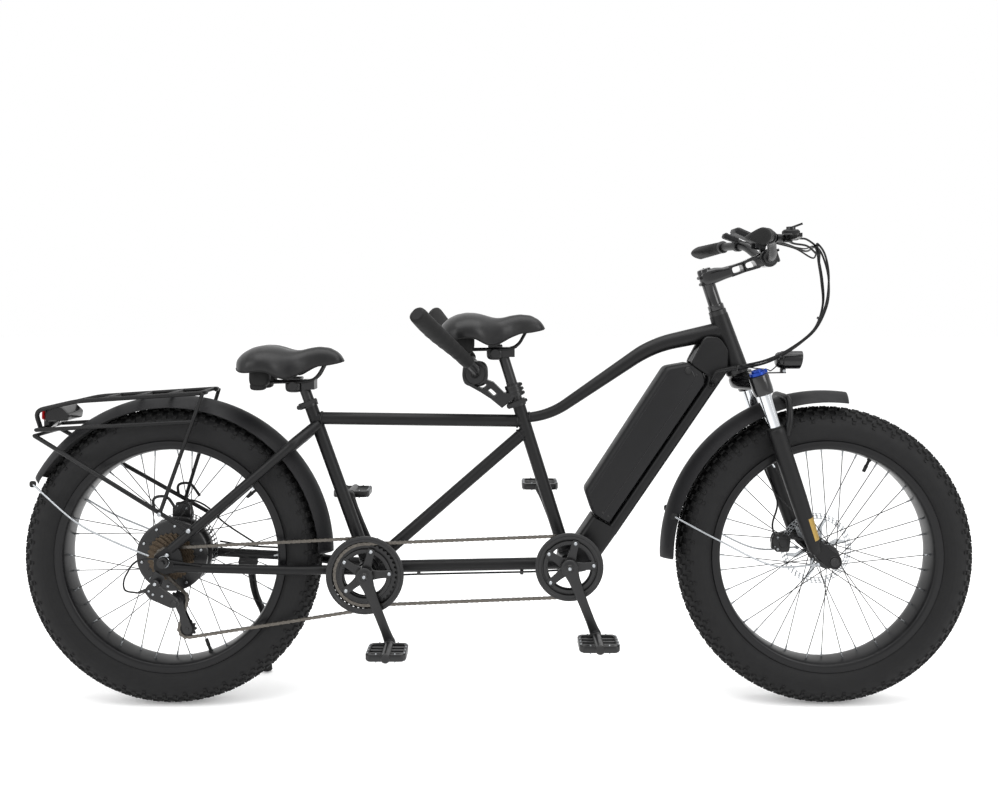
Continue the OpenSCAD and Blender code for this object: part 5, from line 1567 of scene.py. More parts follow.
def arm_rings(rows):
    """Rounded-square sections along the stem arm: rows are (x, z, width, height) in the fork's frame,
    each section's cosine and sine raised to the power one half."""
    a = TAU * (np.arange(32) + 0.5) / 32
    c, s = np.cos(a), np.sin(a)
    y, up = np.sign(c) * np.abs(c) ** 0.5 / 2, np.sign(s) * np.abs(s) ** 0.5 / 2
    sections = []
    for x, z, w, h in rows:
        across = w * y[:, None] * np.array([0, 1.0, 0])
        sections.append(fork_point(x, 0, z) + across + h * up[:, None] * STEER_UP)
    return loft(np.array(sections))


def arm_window(outer, inner):
    """One bay of the arm with a window through it, its corners given in the fork's frame."""
    flat = []
    for rows, cut in ((outer, 2.5), (inner, 6)):
        flat.append(softened([fork_point(x, 0, z)[[0, 2]] for x, z in rows], cut, 6))
    return windowed(flat[0], flat[1], -19, 19, 1.6)


arm = join(
    arm_rings(
        [
            (-14, 274, 30, 30), (-8, 274, 38, 38), (6, 274, 42, 41), (26, 274, 41, 38), (44, 272, 38, 31),
            (63, 271.5, 37, 29),
        ]
    ),
    arm_window(
        [(58, 257), (58, 286.2), (97, 285), (97, 258.5)], [(64, 264), (64, 279.5), (92, 279), (92, 265)]
    ),
    arm_window(
        [(91, 258.5), (91, 285), (134, 289), (134, 257)], [(99, 266), (99, 279), (122, 281), (127, 263.5)]
    ),
    arm_rings([(128, 273.4, 39, 31), (138, 274, 42, 33), (148, 274, 45, 37), (160, 274, 46, 40)]),
)
clamp = disc(BAR, -26, 26, 45.5, 31.4, 1.8, 56)
faceplate = block(BAR + 20 * STEER_OUT, (9, 50, 34), 3, (0, -18, 0))
add_piece(
    "stem_forging",
    join(riser, arm, clamp, faceplate),
    GLOSS_PAINT,
    "steering",
    "stem",
    sharp=40,
)
stem_bolts = [disc(fork_point(-16, 0, 262 + 17 * n), -17, 17, 8.5, edge=1.0, turns=20) for n in (0, 1)]
face_bolts = [
    bar(BAR + 22 * STEER_OUT + [0, y, z], BAR + 27.4 * STEER_OUT + [0, y, z], 7, 18, 0.8)
    for y in (-17, 17)
    for z in (-12, 12)
]
add_piece(
    "stem_bolts",
    join(*stem_bolts, *face_bolts, disc(fork_point(0, 0, 299), -1, 1, 3)),
    SPOKE_BLACK,
    "steering",
)

bar_half = rounded_path(
    [BAR, BAR + [0, 52, 0], BAR + [-24, 130, 40], BAR + [-58, 220, 42], BAR + [-100, 340, 32]], 26, 10
)
whole = np.concatenate([(bar_half * [1, -1, 1])[::-1], bar_half[1:]])
thick = np.interp(np.abs(whole[:, 1]), [0, 30, 48, 60], [31.2, 31.2, 24, 22.1])
sleeve = bar(BAR - [0, 33, 0], BAR + [0, 33, 0], 31.2, 40)
add_piece(
    "handlebar_tube",
    join(tube(whole, np.minimum(thick, 22.1), 32), sleeve),
    ANODISED,
    "steering",
    "handlebar",
    sharp=50,
)


def ergo_grip(inner, outer, side, length, d0, d1, wing):
    """A grip along the bar's end: rings whose width swells and whose rear reaches back by wing as
    (sin of the share of its length) to 1.4, so that the palm rests on it, with finger waves below."""
    way = unit(outer - inner)
    back = unit(np.array([-1.0, 0.0, -0.12]) - np.dot([-1.0, 0.0, -0.12], way) * way)
    up = np.cross(way, back) * side
    f = np.concatenate([[0, 0.012], np.linspace(0.04, 0.96, 30), [0.985, 1.0]])
    size = (d0 + (d1 - d0) * f) * np.concatenate([[0.8, 0.96], np.ones(30), [0.95, 0.7]])
    size = size * (1 + 0.025 * np.cos(9 * TAU * f) * (f > 0.1) * (f < 0.75))
    reach = wing * np.sin(math.pi * np.clip((f - 0.2) / 0.95, 0, 1)) ** 1.4
    t = TAU * np.arange(36) / 36
    start = outer - length * way
    rings = start + f[:, None, None] * length * way + (
        (
            size[:, None] / 2 * np.cos(t)[None] + reach[:, None] * np.clip(np.cos(t)[None], 0, 1) ** 2
        )[..., None] * back
        + (
            size[:, None] / 2 * np.sin(t)[None]
            * (1 - 0.35 * reach[:, None] / 40 * np.clip(np.cos(t)[None], 0, 1))
        )[..., None] * up
    )
    return loft(rings)


grips, rings_of_metal = [], []
for side in (-1, 1):
    outer = BAR + np.array([-100, side * 340, 32.0])
    inner = BAR + np.array([-58, side * 220, 42.0])
    way = unit(outer - inner)
    grips.append(ergo_grip(inner, outer + 2.5 * way, side, 120, 31, 37, 24))
    rings_of_metal.append(bar(outer - 126 * way, outer - 116 * way, 33.5, 36, 1.2))
add_piece(
    "handlebar_grip_pair", join(*grips), GRIP_RUBBER, "steering", "handlebar_grips", sharp=60
)
add_piece("handlebar_grip_collars", join(*rings_of_metal), ANODISED, "steering")

# Brake lever bodies with their reservoirs, display, control pad and shifter
controls = []
for side in (-1, 1):
    at = BAR + np.array([-35, side * 158, 42.0])
    pivot = BAR + np.array([8, side * 150, 40.0])
    line = unit(np.array([-34, side * 90, 2.0]))
    controls.append(bar(at - 8 * line, at + 8 * line, 33, 32, 2))
    body_path = curve([at + [12, 0, -2], at + [26, -side * 8, -2], pivot + [-8, -side * 4, 0]], 6)
    controls.append(tube(body_path, [22, 21, 20, 20, 20, 20, 20, 20, 19, 19, 19, 18, 17], 20))
    for z in (-7.6, 7.6):
        controls.append(block(pivot + [0, side * 1, z], (19, 24, 4.6), 2))
    controls.append(bar(pivot + [3, 0, -9], pivot + [3, 0, 9], 4.9, 16))
add_piece("lever_bodies", join(*controls), ANODISED, "steering", "bar_controls", sharp=40)
display_turn = (0, 24, 0)
display = block(BAR + [-44, 0, 52], (90, 62, 15.5), 7, display_turn)
mount_arm = block(BAR + [-12, 0, 32], (14, 15, 26), 3)
feet = [block(BAR + [-20, y, 34], (26, 6, 22), 2, (0, 10, 0)) for y in (-22, 22)]
pad = block(BAR + [-60, 135, 60], (42, 29, 14), 5, (0, 20, 0))
shifter = join(
    block(BAR + [26, -103, 50], (39, 29, 25.5), 7),
    bar(BAR + [26, -103, 62], BAR + [26, -103, 68.6], 7.8, 20),
)
shifter = moved(shifter, [0, -15, 0])
add_piece(
    "display_case", join(display, mount_arm, *feet, pad), CASE_PLASTIC, "steering"
)
add_piece("shifter_case", shifter, CASE_PLASTIC, "steering")
glass = block(BAR + [-40.6, 0, 60.1], (74, 48, 1.0), 4, display_turn)
buttons = [
    block(BAR + [-60 + 10 * n, 135, 68.3 - 3.6 * n], (7, 14, 2.4), 1.5, (0, 20, 0)) for n in (-1, 0, 1)
]
add_piece("display_glass", glass, GREY_SCREEN, "steering")
add_piece("control_pad_buttons", join(*buttons), GRIP_RUBBER, "steering")

LAMP = CROWN + [88, 0, 55]
t = TAU * np.arange(56) / 56


def lamp_rings(rows):
    """Turned about the lamp's forward line: rows are (distance ahead, diameter, forward lean of the
    top edge), so that the last rings make a hood."""
    rings = []
    for x, d, lean in rows:
        ahead = x + lean * (1 + np.sin(t)) / 2
        rings.append(LAMP + np.stack([ahead, d / 2 * np.cos(t), d / 2 * np.sin(t)], -1))
    return loft(np.array(rings))


shell = lamp_rings(
    [
        (0, 26, 0), (1.5, 33, 0), (6, 39, 0), (14, 42, 0), (15, 44.5, 0), (17, 45.5, 0), (46, 45.8, 0),
        (55, 45.8, 8), (58, 45.4, 8), (58, 42.2, 8), (52, 41, 0), (50, 30, 0),
    ]
)
fins = [lamp_rings([(x, 42, 0), (x, 45.9, 0), (x + 1.4, 45.9, 0), (x + 1.4, 42, 0)]) for x in (20, 24, 28)]
add_piece(
    "headlight_case", join(shell, *fins), GLOSS_PLASTIC, "steering", "headlight", sharp=40
)
add_piece(
    "headlight_reflector",
    lamp_rings([(50.4, 14, 0), (51, 18, 0), (53, 30, 0), (55, 39.8, 0), (54, 40.2, 0), (50.4, 38, 0)]),
    REFLECTOR,
    "steering",
)
add_piece(
    "headlight_lens",
    lamp_rings([(55.2, 39.8, 0), (56.6, 39.6, 0), (57.4, 32, 0), (57.8, 16, 0)]),
    CLEAR_LENS,
    "steering",
)
strap_line = np.array([CROWN + [16, 0, 26], CROWN + [58, 0, 23], CROWN + [112, 0, 23.5]])
strap_section = ((-9.6, -1.4), (9.6, -1.4), (10, 0), (9.6, 1.4), (-9.6, 1.4), (-10, 0))
strap = [np.array([p + [0, y, z] for y, z in strap_section]) for p in curve(strap_line, 6)]
lamp_foot = join(
    loft(np.array(strap)),
    block(LAMP + [18, 0, -26], (12, 15, 11), 2),
    bar(LAMP + [18, -11, -27], LAMP + [18, 11, -27], 7, 20),
)
add_piece("headlight_bracket", lamp_foot, ANODISED, "steering")
add_piece(
    "headlight_bolts",
    join(
        bar(LAMP + [18, -14, -27], LAMP + [18, -11, -27], 9, 6),
        bar(CROWN + [104, 0, 25], CROWN + [104, 0, 29], 9, 6),
    ),
    ZINC,
    "steering",
)

# ---- Cables and hoses: each its own line inside the sleeve's room ----

KNOTS = np.array([BAR + p for p in (
    [46, -112, 46], [70, -106, 42], [104, -80, 20], [120, -62, -10], [128, -56, -60], [126, -52, -120],
    [100, -50, -180],
    [46, -46, -226], [-8, -44, -254], [-60, -43, -268], [-106, -48, -276], [-136, -54, -284],
)] + [PORT + [0, -16, 12], PORT])


def strand(twist, start, spread, first=None):
    """The path of one cable that winds about the bundle's line at its own angle, spread from it, with the
    spread opening near the bar so that the cables fan out to their own controls."""
    line = curve(KNOTS, 8)
    f = np.linspace(0, 1, len(line))
    tangent = unit(np.gradient(line, axis=0))
    n = unit(np.cross([0.3, 1.0, 0.2], tangent))
    b = np.cross(tangent, n)
    open_out = spread * (1 + 1.9 * np.exp(-((f - 0.28) / 0.14) ** 2))
    phase = start + twist * TAU * f
    path = line + open_out[:, None] * (np.cos(phase)[:, None] * n + np.sin(phase)[:, None] * b)
    if first is not None:
        lead = curve(np.concatenate([first, path[14:27:12]]), 8)
        path = np.concatenate([lead[:-9], path[14:]])
    return path


left_lead = BAR + np.array([[-8, 128, 44], [22, 104, 52], [64, 60, 40], [98, 4, 18]])
pad_lead = BAR + np.array([[-44, 118, 52], [-10, 92, 44], [40, 50, 40], [92, 0, 24]])
screen_lead = BAR + np.array([[-4, 10, 44], [28, -4, 36], [66, -26, 22], [102, -48, -2]])
right_lead = BAR + np.array([[0, -124, 44], [30, -120, 30], [70, -104, 24], [104, -80, 4]])
bundle = [
    ("shift_cable", 5.0, strand(1.4, 0.0, 3.4)),
    ("right_brake_hose", 5.0, strand(1.1, 1.6, 3.6, right_lead)),
    ("display_cable", 4.2, strand(1.8, 3.1, 3.4, screen_lead)),
    ("left_brake_hose", 5.0, strand(1.3, 4.4, 3.7, left_lead)),
    ("control_pad_cable", 3.6, strand(0.9, 5.5, 3.2, pad_lead)),
]
for name, d, path in bundle:
    strand_tube = cable(name, path, d, "steering", "control_cables")
    bend(strand_tube)
ties = []
line = curve(KNOTS, 8)
for n in (44, 60, 76):
    way = unit(line[n + 1] - line[n - 1])
    ties.append(bar(line[n] - 3 * way, line[n] + 3 * way, 14.5, 20, 1.0))
tie_bands = add_piece("cable_ties", join(*ties), GLOSS_PLASTIC, "steering")
bend(tie_bands)
lamp_wire = curve(
    [
        LAMP + [2, -6, -14],
        LAMP + [-16, -14, -26],
        LAMP + [-30, -30, -22],
        fork_point(30, -46, 30),
        fork_point(4, -48, 46),
    ],
    8,
)
cable("headlight_wire", lamp_wire, 3.0, "steering")
hose = curve(
    [
        FRONT + [-103, 44, 18],
        FRONT + [-112, 52, 60],
        fork_point(8, 66, -330),
        fork_point(4, 72, -240),
        fork_point(4, 72, -152),
    ],
    8,
)
cable("front_brake_hose", hose, 5.0, "fork_lower")

boom_line = [CAPTAIN + p for p in ([20, 24, -34], [-30, 14, -33], [-90, 2, -33], [-250, 0, -36])]
boom_line += [
    STOKER + p
    for p in (
        [100, 2, -20], [40, 20, -28], [-14, 44, -32], [-60, 62, -14], [-110, 70, 8], [-160, 77, 21],
        [-200, 78, 27], [-320, 90, 31], [-400, 94, 42],
    )
]
centre_line = curve(np.array(boom_line), 8)
cable("boom_brake_hose", centre_line + [0, 2.1, -0.8], 4.4, "frame", "frame_cables")
cable("boom_shift_cable", centre_line + [0, -2.1, 0.8], 4.4, "frame", "frame_cables")
clips = []
for x in (-118, -376):
    clips.append(block(CAPTAIN + [x + 4, 0, -33], (9, 13, 11), 2))
add_piece("boom_cable_clips", join(*clips), GLOSS_PLASTIC, "frame")
rear_hose = curve(
    [
        STOKER + [-300, 88, 34],
        REAR + [104, 78, 58],
        REAR + [60, 66, 104],
        REAR + [24, 58, 122],
        REAR + [-6, 56, 116],
    ],
    8,
)
cable("rear_brake_hose", rear_hose, 4.6, "frame")

# ---- Saddles, posts, stoker's bar ----


# A saddle's lines: distance ahead of the rails' middle, half width, top height, lower edge height
SADDLE = np.array([
    (-149, 34, 53, 43), (-146, 58, 61, 35), (-140, 76, 68, 30), (-128, 93, 77, 26), (-110, 104, 86, 26),
    (-88, 107.4, 91, 29),
    (-66, 106, 90.5, 29), (-50, 102, 87.5, 21), (-36, 94, 83.5, 13), (-20, 80, 79, 8), (-8, 66, 77.5, 11),
    (5, 53, 78.5, 18),
    (25, 41, 83.5, 29), (48, 34, 86.5, 38), (75, 30, 83, 40.5), (96, 25, 72, 44.5), (105, 18, 61, 47),
    (109, 11, 54, 48.5), (110.5, 5, 51, 49.5),
])


def saddle_lines(along):
    """Half width, top height and lower edge height at the distances along, each smoothed by a
    running mean over three distances."""
    lines = []
    for values in SADDLE.T[1:]:
        v = np.interp(along, SADDLE[:, 0], values)
        lines.append(np.concatenate([v[:2], (v[1:-3] + v[2:-2] + v[3:-1]) / 3, v[-2:]]))
    return lines


def saddle_pad(rails):
    """Saddle cover from tail to nose: each section is a soft arch, y = half sin u, z falling from
    the top edge to the lower edge as ((1 - cos u) / (1 - cos 102 degrees))^1.25, with a shallow
    trough along the middle, closed underneath by a hollow that rises as 1 - |u|^3."""
    along = np.concatenate([[-149, -147.6], np.linspace(-146, 102, 64), [105, 107.5, 109.4, 110.5]])
    half, top, low = saddle_lines(along)
    u = np.radians(np.linspace(-102, 102, 49))
    fall = ((1 - np.cos(u)) / (1 - math.cos(math.radians(102)))) ** 1.25
    trough = 3.0 * np.exp(-((u / 0.2) ** 2)) * (
        np.sin(math.pi * np.clip((along + 124) / 196, 0, 1))
    )[:, None]
    y = half[:, None] * np.sin(u)[None]
    z = top[:, None] - (top - low)[:, None] * fall[None] - trough
    under = np.linspace(1, -1, 25)[1:-1]
    under_y = half[:, None] * 0.955 * under[None]
    roof = np.maximum(np.minimum(46, top - 12), low + 2)
    under_z = low[:, None] + 2 + (roof - low - 2)[:, None] * (1 - np.abs(under[None]) ** 3)
    skin = np.stack([np.broadcast_to(along[:, None], y.shape), y, z], -1)
    base = np.stack([np.broadcast_to(along[:, None], under_y.shape), under_y, under_z], -1)
    return moved(loft(np.concatenate([skin, base], 1)), rails)


def saddle_seams(rails):
    """Piping round the cover's lower edge."""
    along = np.linspace(-145, 107, 60)
    half, top, low = saddle_lines(along)
    u = math.radians(101)
    edge = np.stack([along, half * math.sin(u), low + 0.8], -1)
    return moved(pair(tube(edge, 3.2, 8)), rails)


def saddle_frame(rails):
    """Two steel rails, the clamp in its cradle, two elastomer bumpers under the tail, the base tray."""
    rail = tube(
        rounded_path([[66, 11, 48], [44, 18, 8], [24, 22, -1], [-40, 22, -2], [-104, 34, -3]], 16, 8), 7, 14
    )
    cradle = dome([-14, 0, -12], (44, 50, 34), 3.2)
    clamp_high = block([-14, 0, 6], (36, 52, 7), 2.5)
    bolt = bar([-14, -30, -12], [-14, 30, -12], 26, 28, 2.0)
    bumper = [dome([-92, y, 14], (50, 44, 52), 3.4) for y in (-40, 40)]
    foot = [dome([-96, y, -10], (40, 34, 22), 3.0) for y in (-38, 38)]
    tray = block([-34, 0, 44], (120, 84, 8), 7)
    return moved(join(rail, mirrored(rail)), rails), moved(join(cradle, clamp_high, bolt), rails), moved(
        join(*bumper, *foot), rails
    ), moved(tray, rails)


# Moulded saddle skin: soft-touch vinyl, fine pebble a fraction of a millimetre across
SADDLE_VINYL = finish(
    "moulded_saddle_vinyl",
    "#070708",
    0.38,
    second="#0b0b0c",
    patch=30,
    grain=0.14,
    grain_mm=0.9,
    Sheen_Weight=0.03,
    Specular_IOR_Level=0.3,
)
for rider, top, up, out, back in (
    ("captain", CAPTAIN_TOP, CAPTAIN_UP, 120, 2), ("stoker", STOKER_TOP, STOKER_UP, 38, 6)
):
    rails = top + (out + 12) * up + np.array([-back, 0, 6.0])
    post = rider + "_post"
    cover = add_piece(
        rider + "_saddle_cover",
        saddle_pad(rails),
        SADDLE_VINYL,
        post,
        rider + "_saddle",
        sharp=180,
    )
    add_piece(rider + "_saddle_piping", saddle_seams(rails), GRIP_RUBBER, post)
    rail, clamp_part, bumpers, tray = saddle_frame(rails)
    add_piece(rider + "_saddle_rails", rail, SPOKE_BLACK, post)
    add_piece(rider + "_saddle_clamp", clamp_part, ANODISED, post)
    add_piece(rider + "_saddle_elastomers", bumpers, GRIP_RUBBER, post)
    add_piece(rider + "_saddle_base", tray, CASE_PLASTIC, post)

HUB = CAPTAIN_TOP + [-106, 0, 69]
stem_outline = [
    (-58, 49), (-34, 24), (-14, 21), (-9, 6), (-38, -16), (-67, 7), (-92, 23), (-132, 46), (-120, 69)
]
flat = [(CAPTAIN_TOP[0] + x, CAPTAIN_TOP[2] + z) for x, z in stem_outline]
big = outline_at(CAPTAIN_TOP, ((-112, 40), (-89, 54), (-74, 41), (-86, 30)), 5, 5)
small = outline_at(CAPTAIN_TOP, ((-77, 27), (-67, 35), (-49, 19), (-59, 10)), 4, 5)


def window_rim(outline):
    """A raised lip round a window on both flanks."""
    ring = np.stack([outline[:, 0], np.full(len(outline), 17.0), outline[:, 1]], -1)
    return pair(tube(ring, 3.4, 8, closed=True))


def post_point(x, y, z, top, up):
    """The point x ahead of, y beside and z up a seat tube from its top."""
    across = np.array([0.0, 1.0, 0.0])
    ahead = np.cross(across, up)
    return top + x * ahead + y * across + z * up


def post_ring(z0, z1, d, bore, top, up):
    """A chamfered collar of diameter d round a post, from z0 to z1 along it from its tube's top."""
    t = TAU * np.arange(44) / 44
    rows = [(z0, bore), (z0, d - 2.4), (z0 + 1.2, d), (z1 - 1.2, d), (z1, d - 2.4), (z1, bore)]
    across = np.array([0.0, 1.0, 0.0])
    ahead = np.cross(across, up)
    rings = [
        top + z * up + w / 2 * (np.cos(t)[:, None] * ahead + np.sin(t)[:, None] * across) for z, w in rows
    ]
    return loft(np.array(rings), ring=True)


for slot in nodes["stoker_stem"].material_slots:
    slot.material = ANODISED
collars = [post_ring(12.4 + 11 * n, 21.4 + 11 * n, 41.4, 39.8, CAPTAIN_TOP, CAPTAIN_UP) for n in range(3)]
ears = []
for n in range(3):
    at = post_point(21, 0, 17 + 11 * n, CAPTAIN_TOP, CAPTAIN_UP)
    ears.append(bar(at - [0, 10, 0], at + [0, 10, 0], 7.5, 16, 1))
add_piece(
    "stoker_stem_collars",
    join(*collars, *ears, window_rim(big), window_rim(small)),
    ANODISED,
    "captain_post",
)
hub_caps = join(disc(HUB, -26, -22, 52, edge=2.4, turns=56), disc(HUB, 22, 26, 52, edge=2.4, turns=56))
add_piece(
    "stoker_stem_hub_caps",
    join(hub_caps, dome(HUB, (65, 50, 65), 3.0, 18, 40)),
    ANODISED,
    "captain_post",
)
stoker_grips = []
for side in (-1, 1):
    a0 = HUB + np.array([2, side * 58, 14.0])
    b0 = HUB + np.array([-119, side * 300, 150.0])
    way = unit(b0 - a0)
    length = np.linalg.norm(b0 - a0) - 36
    stoker_grips.append(ergo_grip(a0, b0 + 4 * way, side, length, 33, 37.5, 9))
add_piece(
    "stoker_grip_pair",
    join(*stoker_grips),
    GRIP_RUBBER,
    "captain_post",
    "stoker_grips",
    sharp=60,
)
ends = []
for side in (-1, 1):
    a0 = HUB + np.array([2, side * 58, 14.0])
    b0 = HUB + np.array([-119, side * 300, 150.0])
    way = unit(b0 - a0)
    ends.append(bar(b0 + 2.5 * way, b0 + 5.4 * way, 30, 30, 1.2))
add_piece("stoker_grip_end_caps", join(*ends), CASE_PLASTIC, "captain_post")

# ---- Fenders, rack, tail lamp, derailleur, stand ----


def fender(axle, r, start, stop, skirt, half, tip):
    """A rolled strip: at share f across, its radius is r less skirt f^2, 2.2 thick, over the arc
    from start to stop, its ends rounded in plan and its edges rolled."""
    f = np.linspace(-1, 1, 17)
    a = np.radians(
        np.concatenate(
            [
                np.linspace(start, start + tip, 6),
                np.linspace(start + tip, stop - tip, 50)[1:-1],
                np.linspace(stop - tip, stop, 6),
            ]
        )
    )
    near = np.clip(np.minimum(a - a[0], a[-1] - a) / math.radians(tip), 0, 1)
    wide = half * (0.72 + 0.28 * np.sqrt(1 - (1 - near) ** 2))
    top_r = r - skirt * f**2
    low_r = top_r - 2.2
    top_r[[0, -1]] -= 0.6
    rows_r = np.concatenate([top_r, low_r[::-1]])
    rows_y = np.concatenate([f, f[::-1] * 0.985])
    rings = np.stack(
        [
            rows_r[None] * np.cos(a)[:, None],
            wide[:, None] * rows_y[None],
            rows_r[None] * np.sin(a)[:, None],
        ],
        -1,
    ) + axle
    return loft(rings)


add_piece(
    "rear_fender_strip",
    fender(REAR, REAR_FENDER_R, 1, 151, 26, 52, 3.0),
    FENDER_PLASTIC,
    "frame",
    "rear_fender",
    sharp=50,
)
add_piece(
    "front_fender_strip",
    fender(FRONT, FRONT_FENDER_R, 82, 181, 24, 52, 3.0),
    FENDER_PLASTIC,
    "fork_lower",
    "front_fender",
    sharp=50,
)
rear_tip = REAR + REAR_FENDER_R * np.array(
    [math.cos(math.radians(150)), 0, math.sin(math.radians(150))]
) + [12, 0, -16]
rear_wire_line = curve(
    [rear_tip + [0, 55, 0], REAR + [-215, 82, 96], REAR + [-120, 90, 50], REAR + [-34, 92, 16]], 8
)
add_piece("rear_fender_stays", pair(tube(rear_wire_line, 4.6, 14)), ZINC, "frame")
front_tip = FRONT + 398 * np.array([-0.969, 0, 0.249])
front_wire_line = curve(
    [front_tip + [4, 55, 4], front_tip + [104, 84, -46], FRONT + [-150, 88, -8], FRONT + [-40, 89, -6]], 8
)
add_piece(
    "front_fender_stays", pair(tube(front_wire_line, 4.6, 14)), ZINC, "fork_lower"
)
clips = []
for p in (rear_tip + [0, 54, 0], front_tip + [4, 54, 4]):
    clips.append(dome(p, (16, 7, 16), 3.0))
add_piece("rear_stay_clips", pair(clips[0]), GRIP_RUBBER, "frame")
add_piece("front_stay_clips", pair(clips[1]), GRIP_RUBBER, "fork_lower")
add_piece(
    "front_stay_bolts",
    pair(
        join(
            bar(FRONT + [-40, 80, -6], FRONT + [-40, 92.6, -6], 9, 18, 1.2),
            bar(FRONT + [-40, 86, -6], FRONT + [-40, 94.6, -6], 6, 6, 0.6),
        )
    ),
    ZINC,
    "fork_lower",
)

rack_front, rack_knee, rack_tail = REAR + [90, 0, 408], REAR + [-218, 0, 388], REAR + [-316, 0, 318]
low_foot, front_low = REAR + [64, 99, 78], REAR + [-6, 99, 118]
rail_front = front_low + 0.76 * (rack_front + [0, 72, 0] - front_low)
side_path = rounded_path(
    [
        rack_front + [0, 42, 0],
        rack_front + [0, 72, 0],
        rack_knee + [0, 72, 0],
        rack_tail + [-6, 64, 46],
        rack_tail + [0, 46, 0],
    ],
    22,
    8,
)
rack_side = [
    tube(side_path, 11, 20),
    bar(rail_front, rack_tail + [0, 72, 0], 10, 20),
    bar(low_foot, rack_tail + [-4, 72, -14], 10.6, 20),
    bar(front_low, rack_front + [0, 72, 0], 9.6, 20),
    disc(low_foot, 84, 99, 12, edge=1.2, turns=24),
    tube(
        rounded_path(
            [
                front_low + [-14, -6, 8],
                front_low + [-20, -7, 40],
                front_low + [16, -8, 44],
                front_low + [40, -6, 8],
            ],
            16,
            7,
        ),
        7,
        14,
    ),
]
cross = []
for f in (0.04, 0.3, 0.56, 0.82):
    p = rack_front + f * (rack_knee - rack_front)
    cross.append(bar(p - [0, 72, 0], p + [0, 72, 0], 9, 18))
for p in (rack_tail, rack_tail + [-4, 0, -14]):
    cross.append(bar(p - [0, 74, 0], p + [0, 74, 0], 9, 18))
add_piece(
    "rack_tubework",
    join(pair(join(*rack_side)), *cross),
    POWDER_COAT,
    "frame",
    "luggage_rack",
    sharp=50,
)
add_piece(
    "rack_bolts",
    pair(
        join(
            disc(low_foot, 98, 105, 11, edge=1.4, turns=24),
            disc(front_low, 98, 104.6, 10, edge=1.4, turns=24),
        )
    ),
    ZINC,
    "frame",
)

LIGHT = REAR + [-252, 0, 350]
case = outline_at(LIGHT, ((1, -13), (4, 5), (-14, 22), (-56, 24), (-56, -15)), 4, 5)
foot = outline_at(LIGHT, ((-54, -14), (-32, -14), (-54, -33), (-70, -33), (-70, -12), (-62, -10)), 2, 3)
add_piece(
    "tail_lamp_case",
    join(plate(case, -43.5, 43.5, 2.4), plate(foot, -17.5, 17.5, 1)),
    GLOSS_PLASTIC,
    "frame",
    "rear_light",
    sharp=40,
)
lens_face = outline_at(LIGHT, ((-56, 21), (-56, -13), (-65.6, -9), (-65.6, 17)), 3, 5)
add_piece("tail_lamp_lens", plate(lens_face, -41, 41, 2.4), RED_LENS, "frame")

body_parts = [
    plate(outline_at(REAR, ((-20, -20), (-34, -44), (-20, -60), (-4, -56), (4, -34)), 5), -93, -88, 1.2),
    plate(
        outline_at(
            REAR, ((-30, -47), (-43, -66), (-30, -85), (25, -109), (43, -103), (39, -85), (-6, -53)), 8, 6
        ),
        -104,
        -97,
        2.2,
    ),
    plate(
        outline_at(
            REAR, ((-24, -54), (-34, -68), (-24, -80), (22, -102), (36, -98), (32, -88), (-4, -60)), 6, 6
        ),
        -97,
        -89,
        1.4,
    ),
    disc(REAR + [-14, 0, -48], -110, -88, 19, edge=1.8, turns=32),
    disc(GUIDE, -106.6, -88.6, 17, edge=1.6, turns=30),
    bar(REAR + [-40, -96, -66], REAR + [-58, -96, -72], (9, 7), 18, 1.2),
]
add_piece(
    "derailleur_linkage", join(*body_parts), ANODISED, "frame", "derailleur_body", sharp=35
)
body_bolts = [disc(REAR + p, -112, -109, 9, edge=0.9, turns=6) for p in ([-14, 0, -48],)]
body_bolts += [
    disc(REAR + p, -106.4, -103, 5.6, edge=0.7, turns=16)
    for p in ([-30, 0, -66], [2, 0, -78], [-20, 0, -74])
]
body_bolts.append(disc(GUIDE, -89, -53.6, 7.9, edge=0.6, turns=24))
add_piece("derailleur_bolts", join(*body_bolts), ZINC, "frame")
loop = curve(
    [
        STOKER + [-396, -90, 26],
        REAR + [-44, -98, 10],
        REAR + [-84, -104, -26],
        REAR + [-88, -104, -62],
        REAR + [-58, -98, -72],
    ],
    8,
)
cable("derailleur_cable_loop", loop, 4.4, "frame")


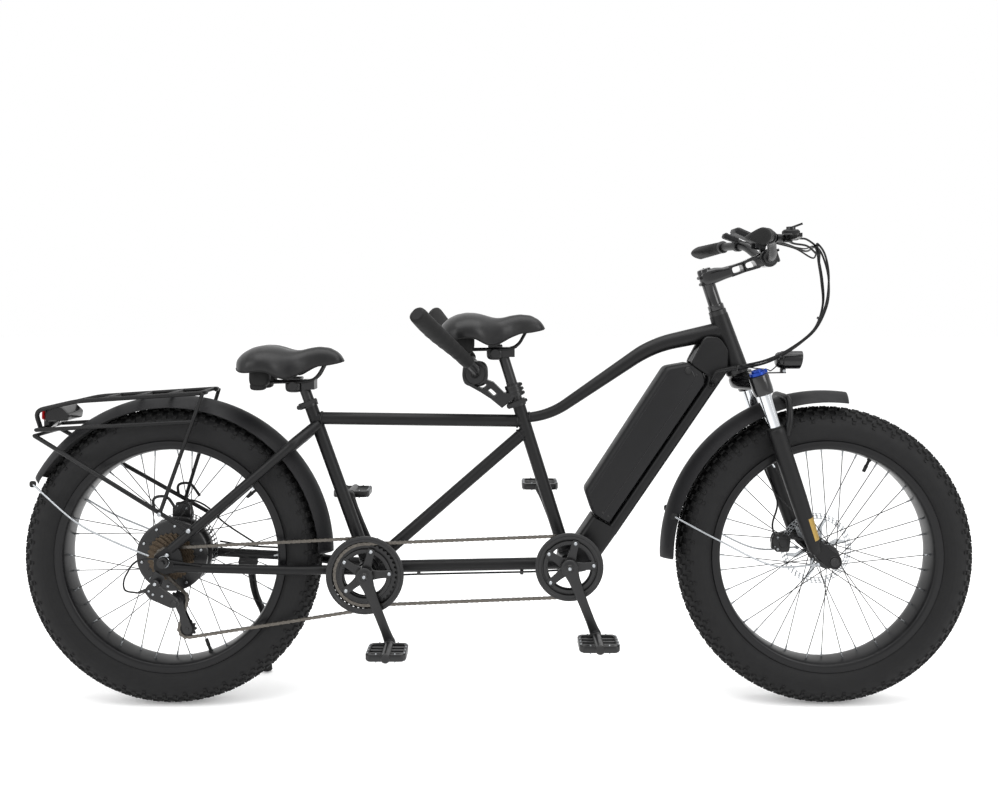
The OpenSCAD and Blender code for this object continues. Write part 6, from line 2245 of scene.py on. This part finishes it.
def cage_side(y):
    """A slim cage plate from the guide to the idler: two round ends joined by a waisted strap."""
    way = unit((IDLER - GUIDE)[[0, 2]])
    side = np.array([-way[1], way[0]])
    start, stop = GUIDE[[0, 2]], IDLER[[0, 2]]
    t = np.linspace(-90, 90, 12)
    first = [start + 12.6 * (-np.cos(np.radians(a)) * way + np.sin(np.radians(a)) * side) for a in t]
    last = [stop + 12.6 * (np.cos(np.radians(a)) * way - np.sin(np.radians(a)) * side) for a in t]
    middle = [start + 36 * way + 8 * side]
    other = [start + 36 * way - 8 * side]
    return plate(np.array(first + middle + last + other), y - 0.9, y + 0.9, 0.3)


wheels = join(
    *[toothed(p, -65.2, -62.8, 20.4, 11, 4.2, 4.0) for p in (GUIDE, IDLER)],
    *[disc(p, -66.6, -61.4, 26, 8.2, 0.8, 36) for p in (GUIDE, IDLER)],
)
spindle = join(disc(IDLER, -73.4, -55, 7.5, edge=0.8, turns=20), disc(GUIDE, -72, -69, 15, 8.2, 0.6, 24))
add_piece(
    "derailleur_cage_plates",
    join(cage_side(-70.5), cage_side(-57.5), spindle),
    ANODISED,
    "derailleur_arm",
    "derailleur_cage",
    sharp=35,
)
add_piece("idler_pulleys", wheels, CASE_PLASTIC, "derailleur_arm", sharp=30)

FOOT = np.array([REAR[0] + 184, 200.0, 6.0])
leg = rounded_path(
    [
        PIVOT + [0, 2, 0],
        PIVOT + [10, 12, -86],
        PIVOT + [32, 32, -146],
        PIVOT + [14, 68, -240],
        FOOT + [0, 0, 10],
    ],
    30,
    9,
)
leg_d = np.interp(np.linspace(0, 1, len(leg)), [0, 0.4, 1], [19, 17.5, 16])
add_piece(
    "stand_leg",
    join(tube(leg, leg_d, 24), bar(PIVOT - 6 * stand_axis, PIVOT + 8 * stand_axis, 25.6, 36, 1.6)),
    POWDER_COAT,
    "kickstand_leg",
    "kickstand",
    sharp=45,
)
add_piece(
    "stand_foot_cap",
    bar(FOOT + [0, 0, 24], FOOT + [0, 0, -1.8], (24, 29), 28, 2.5),
    GRIP_RUBBER,
    "kickstand_leg",
)
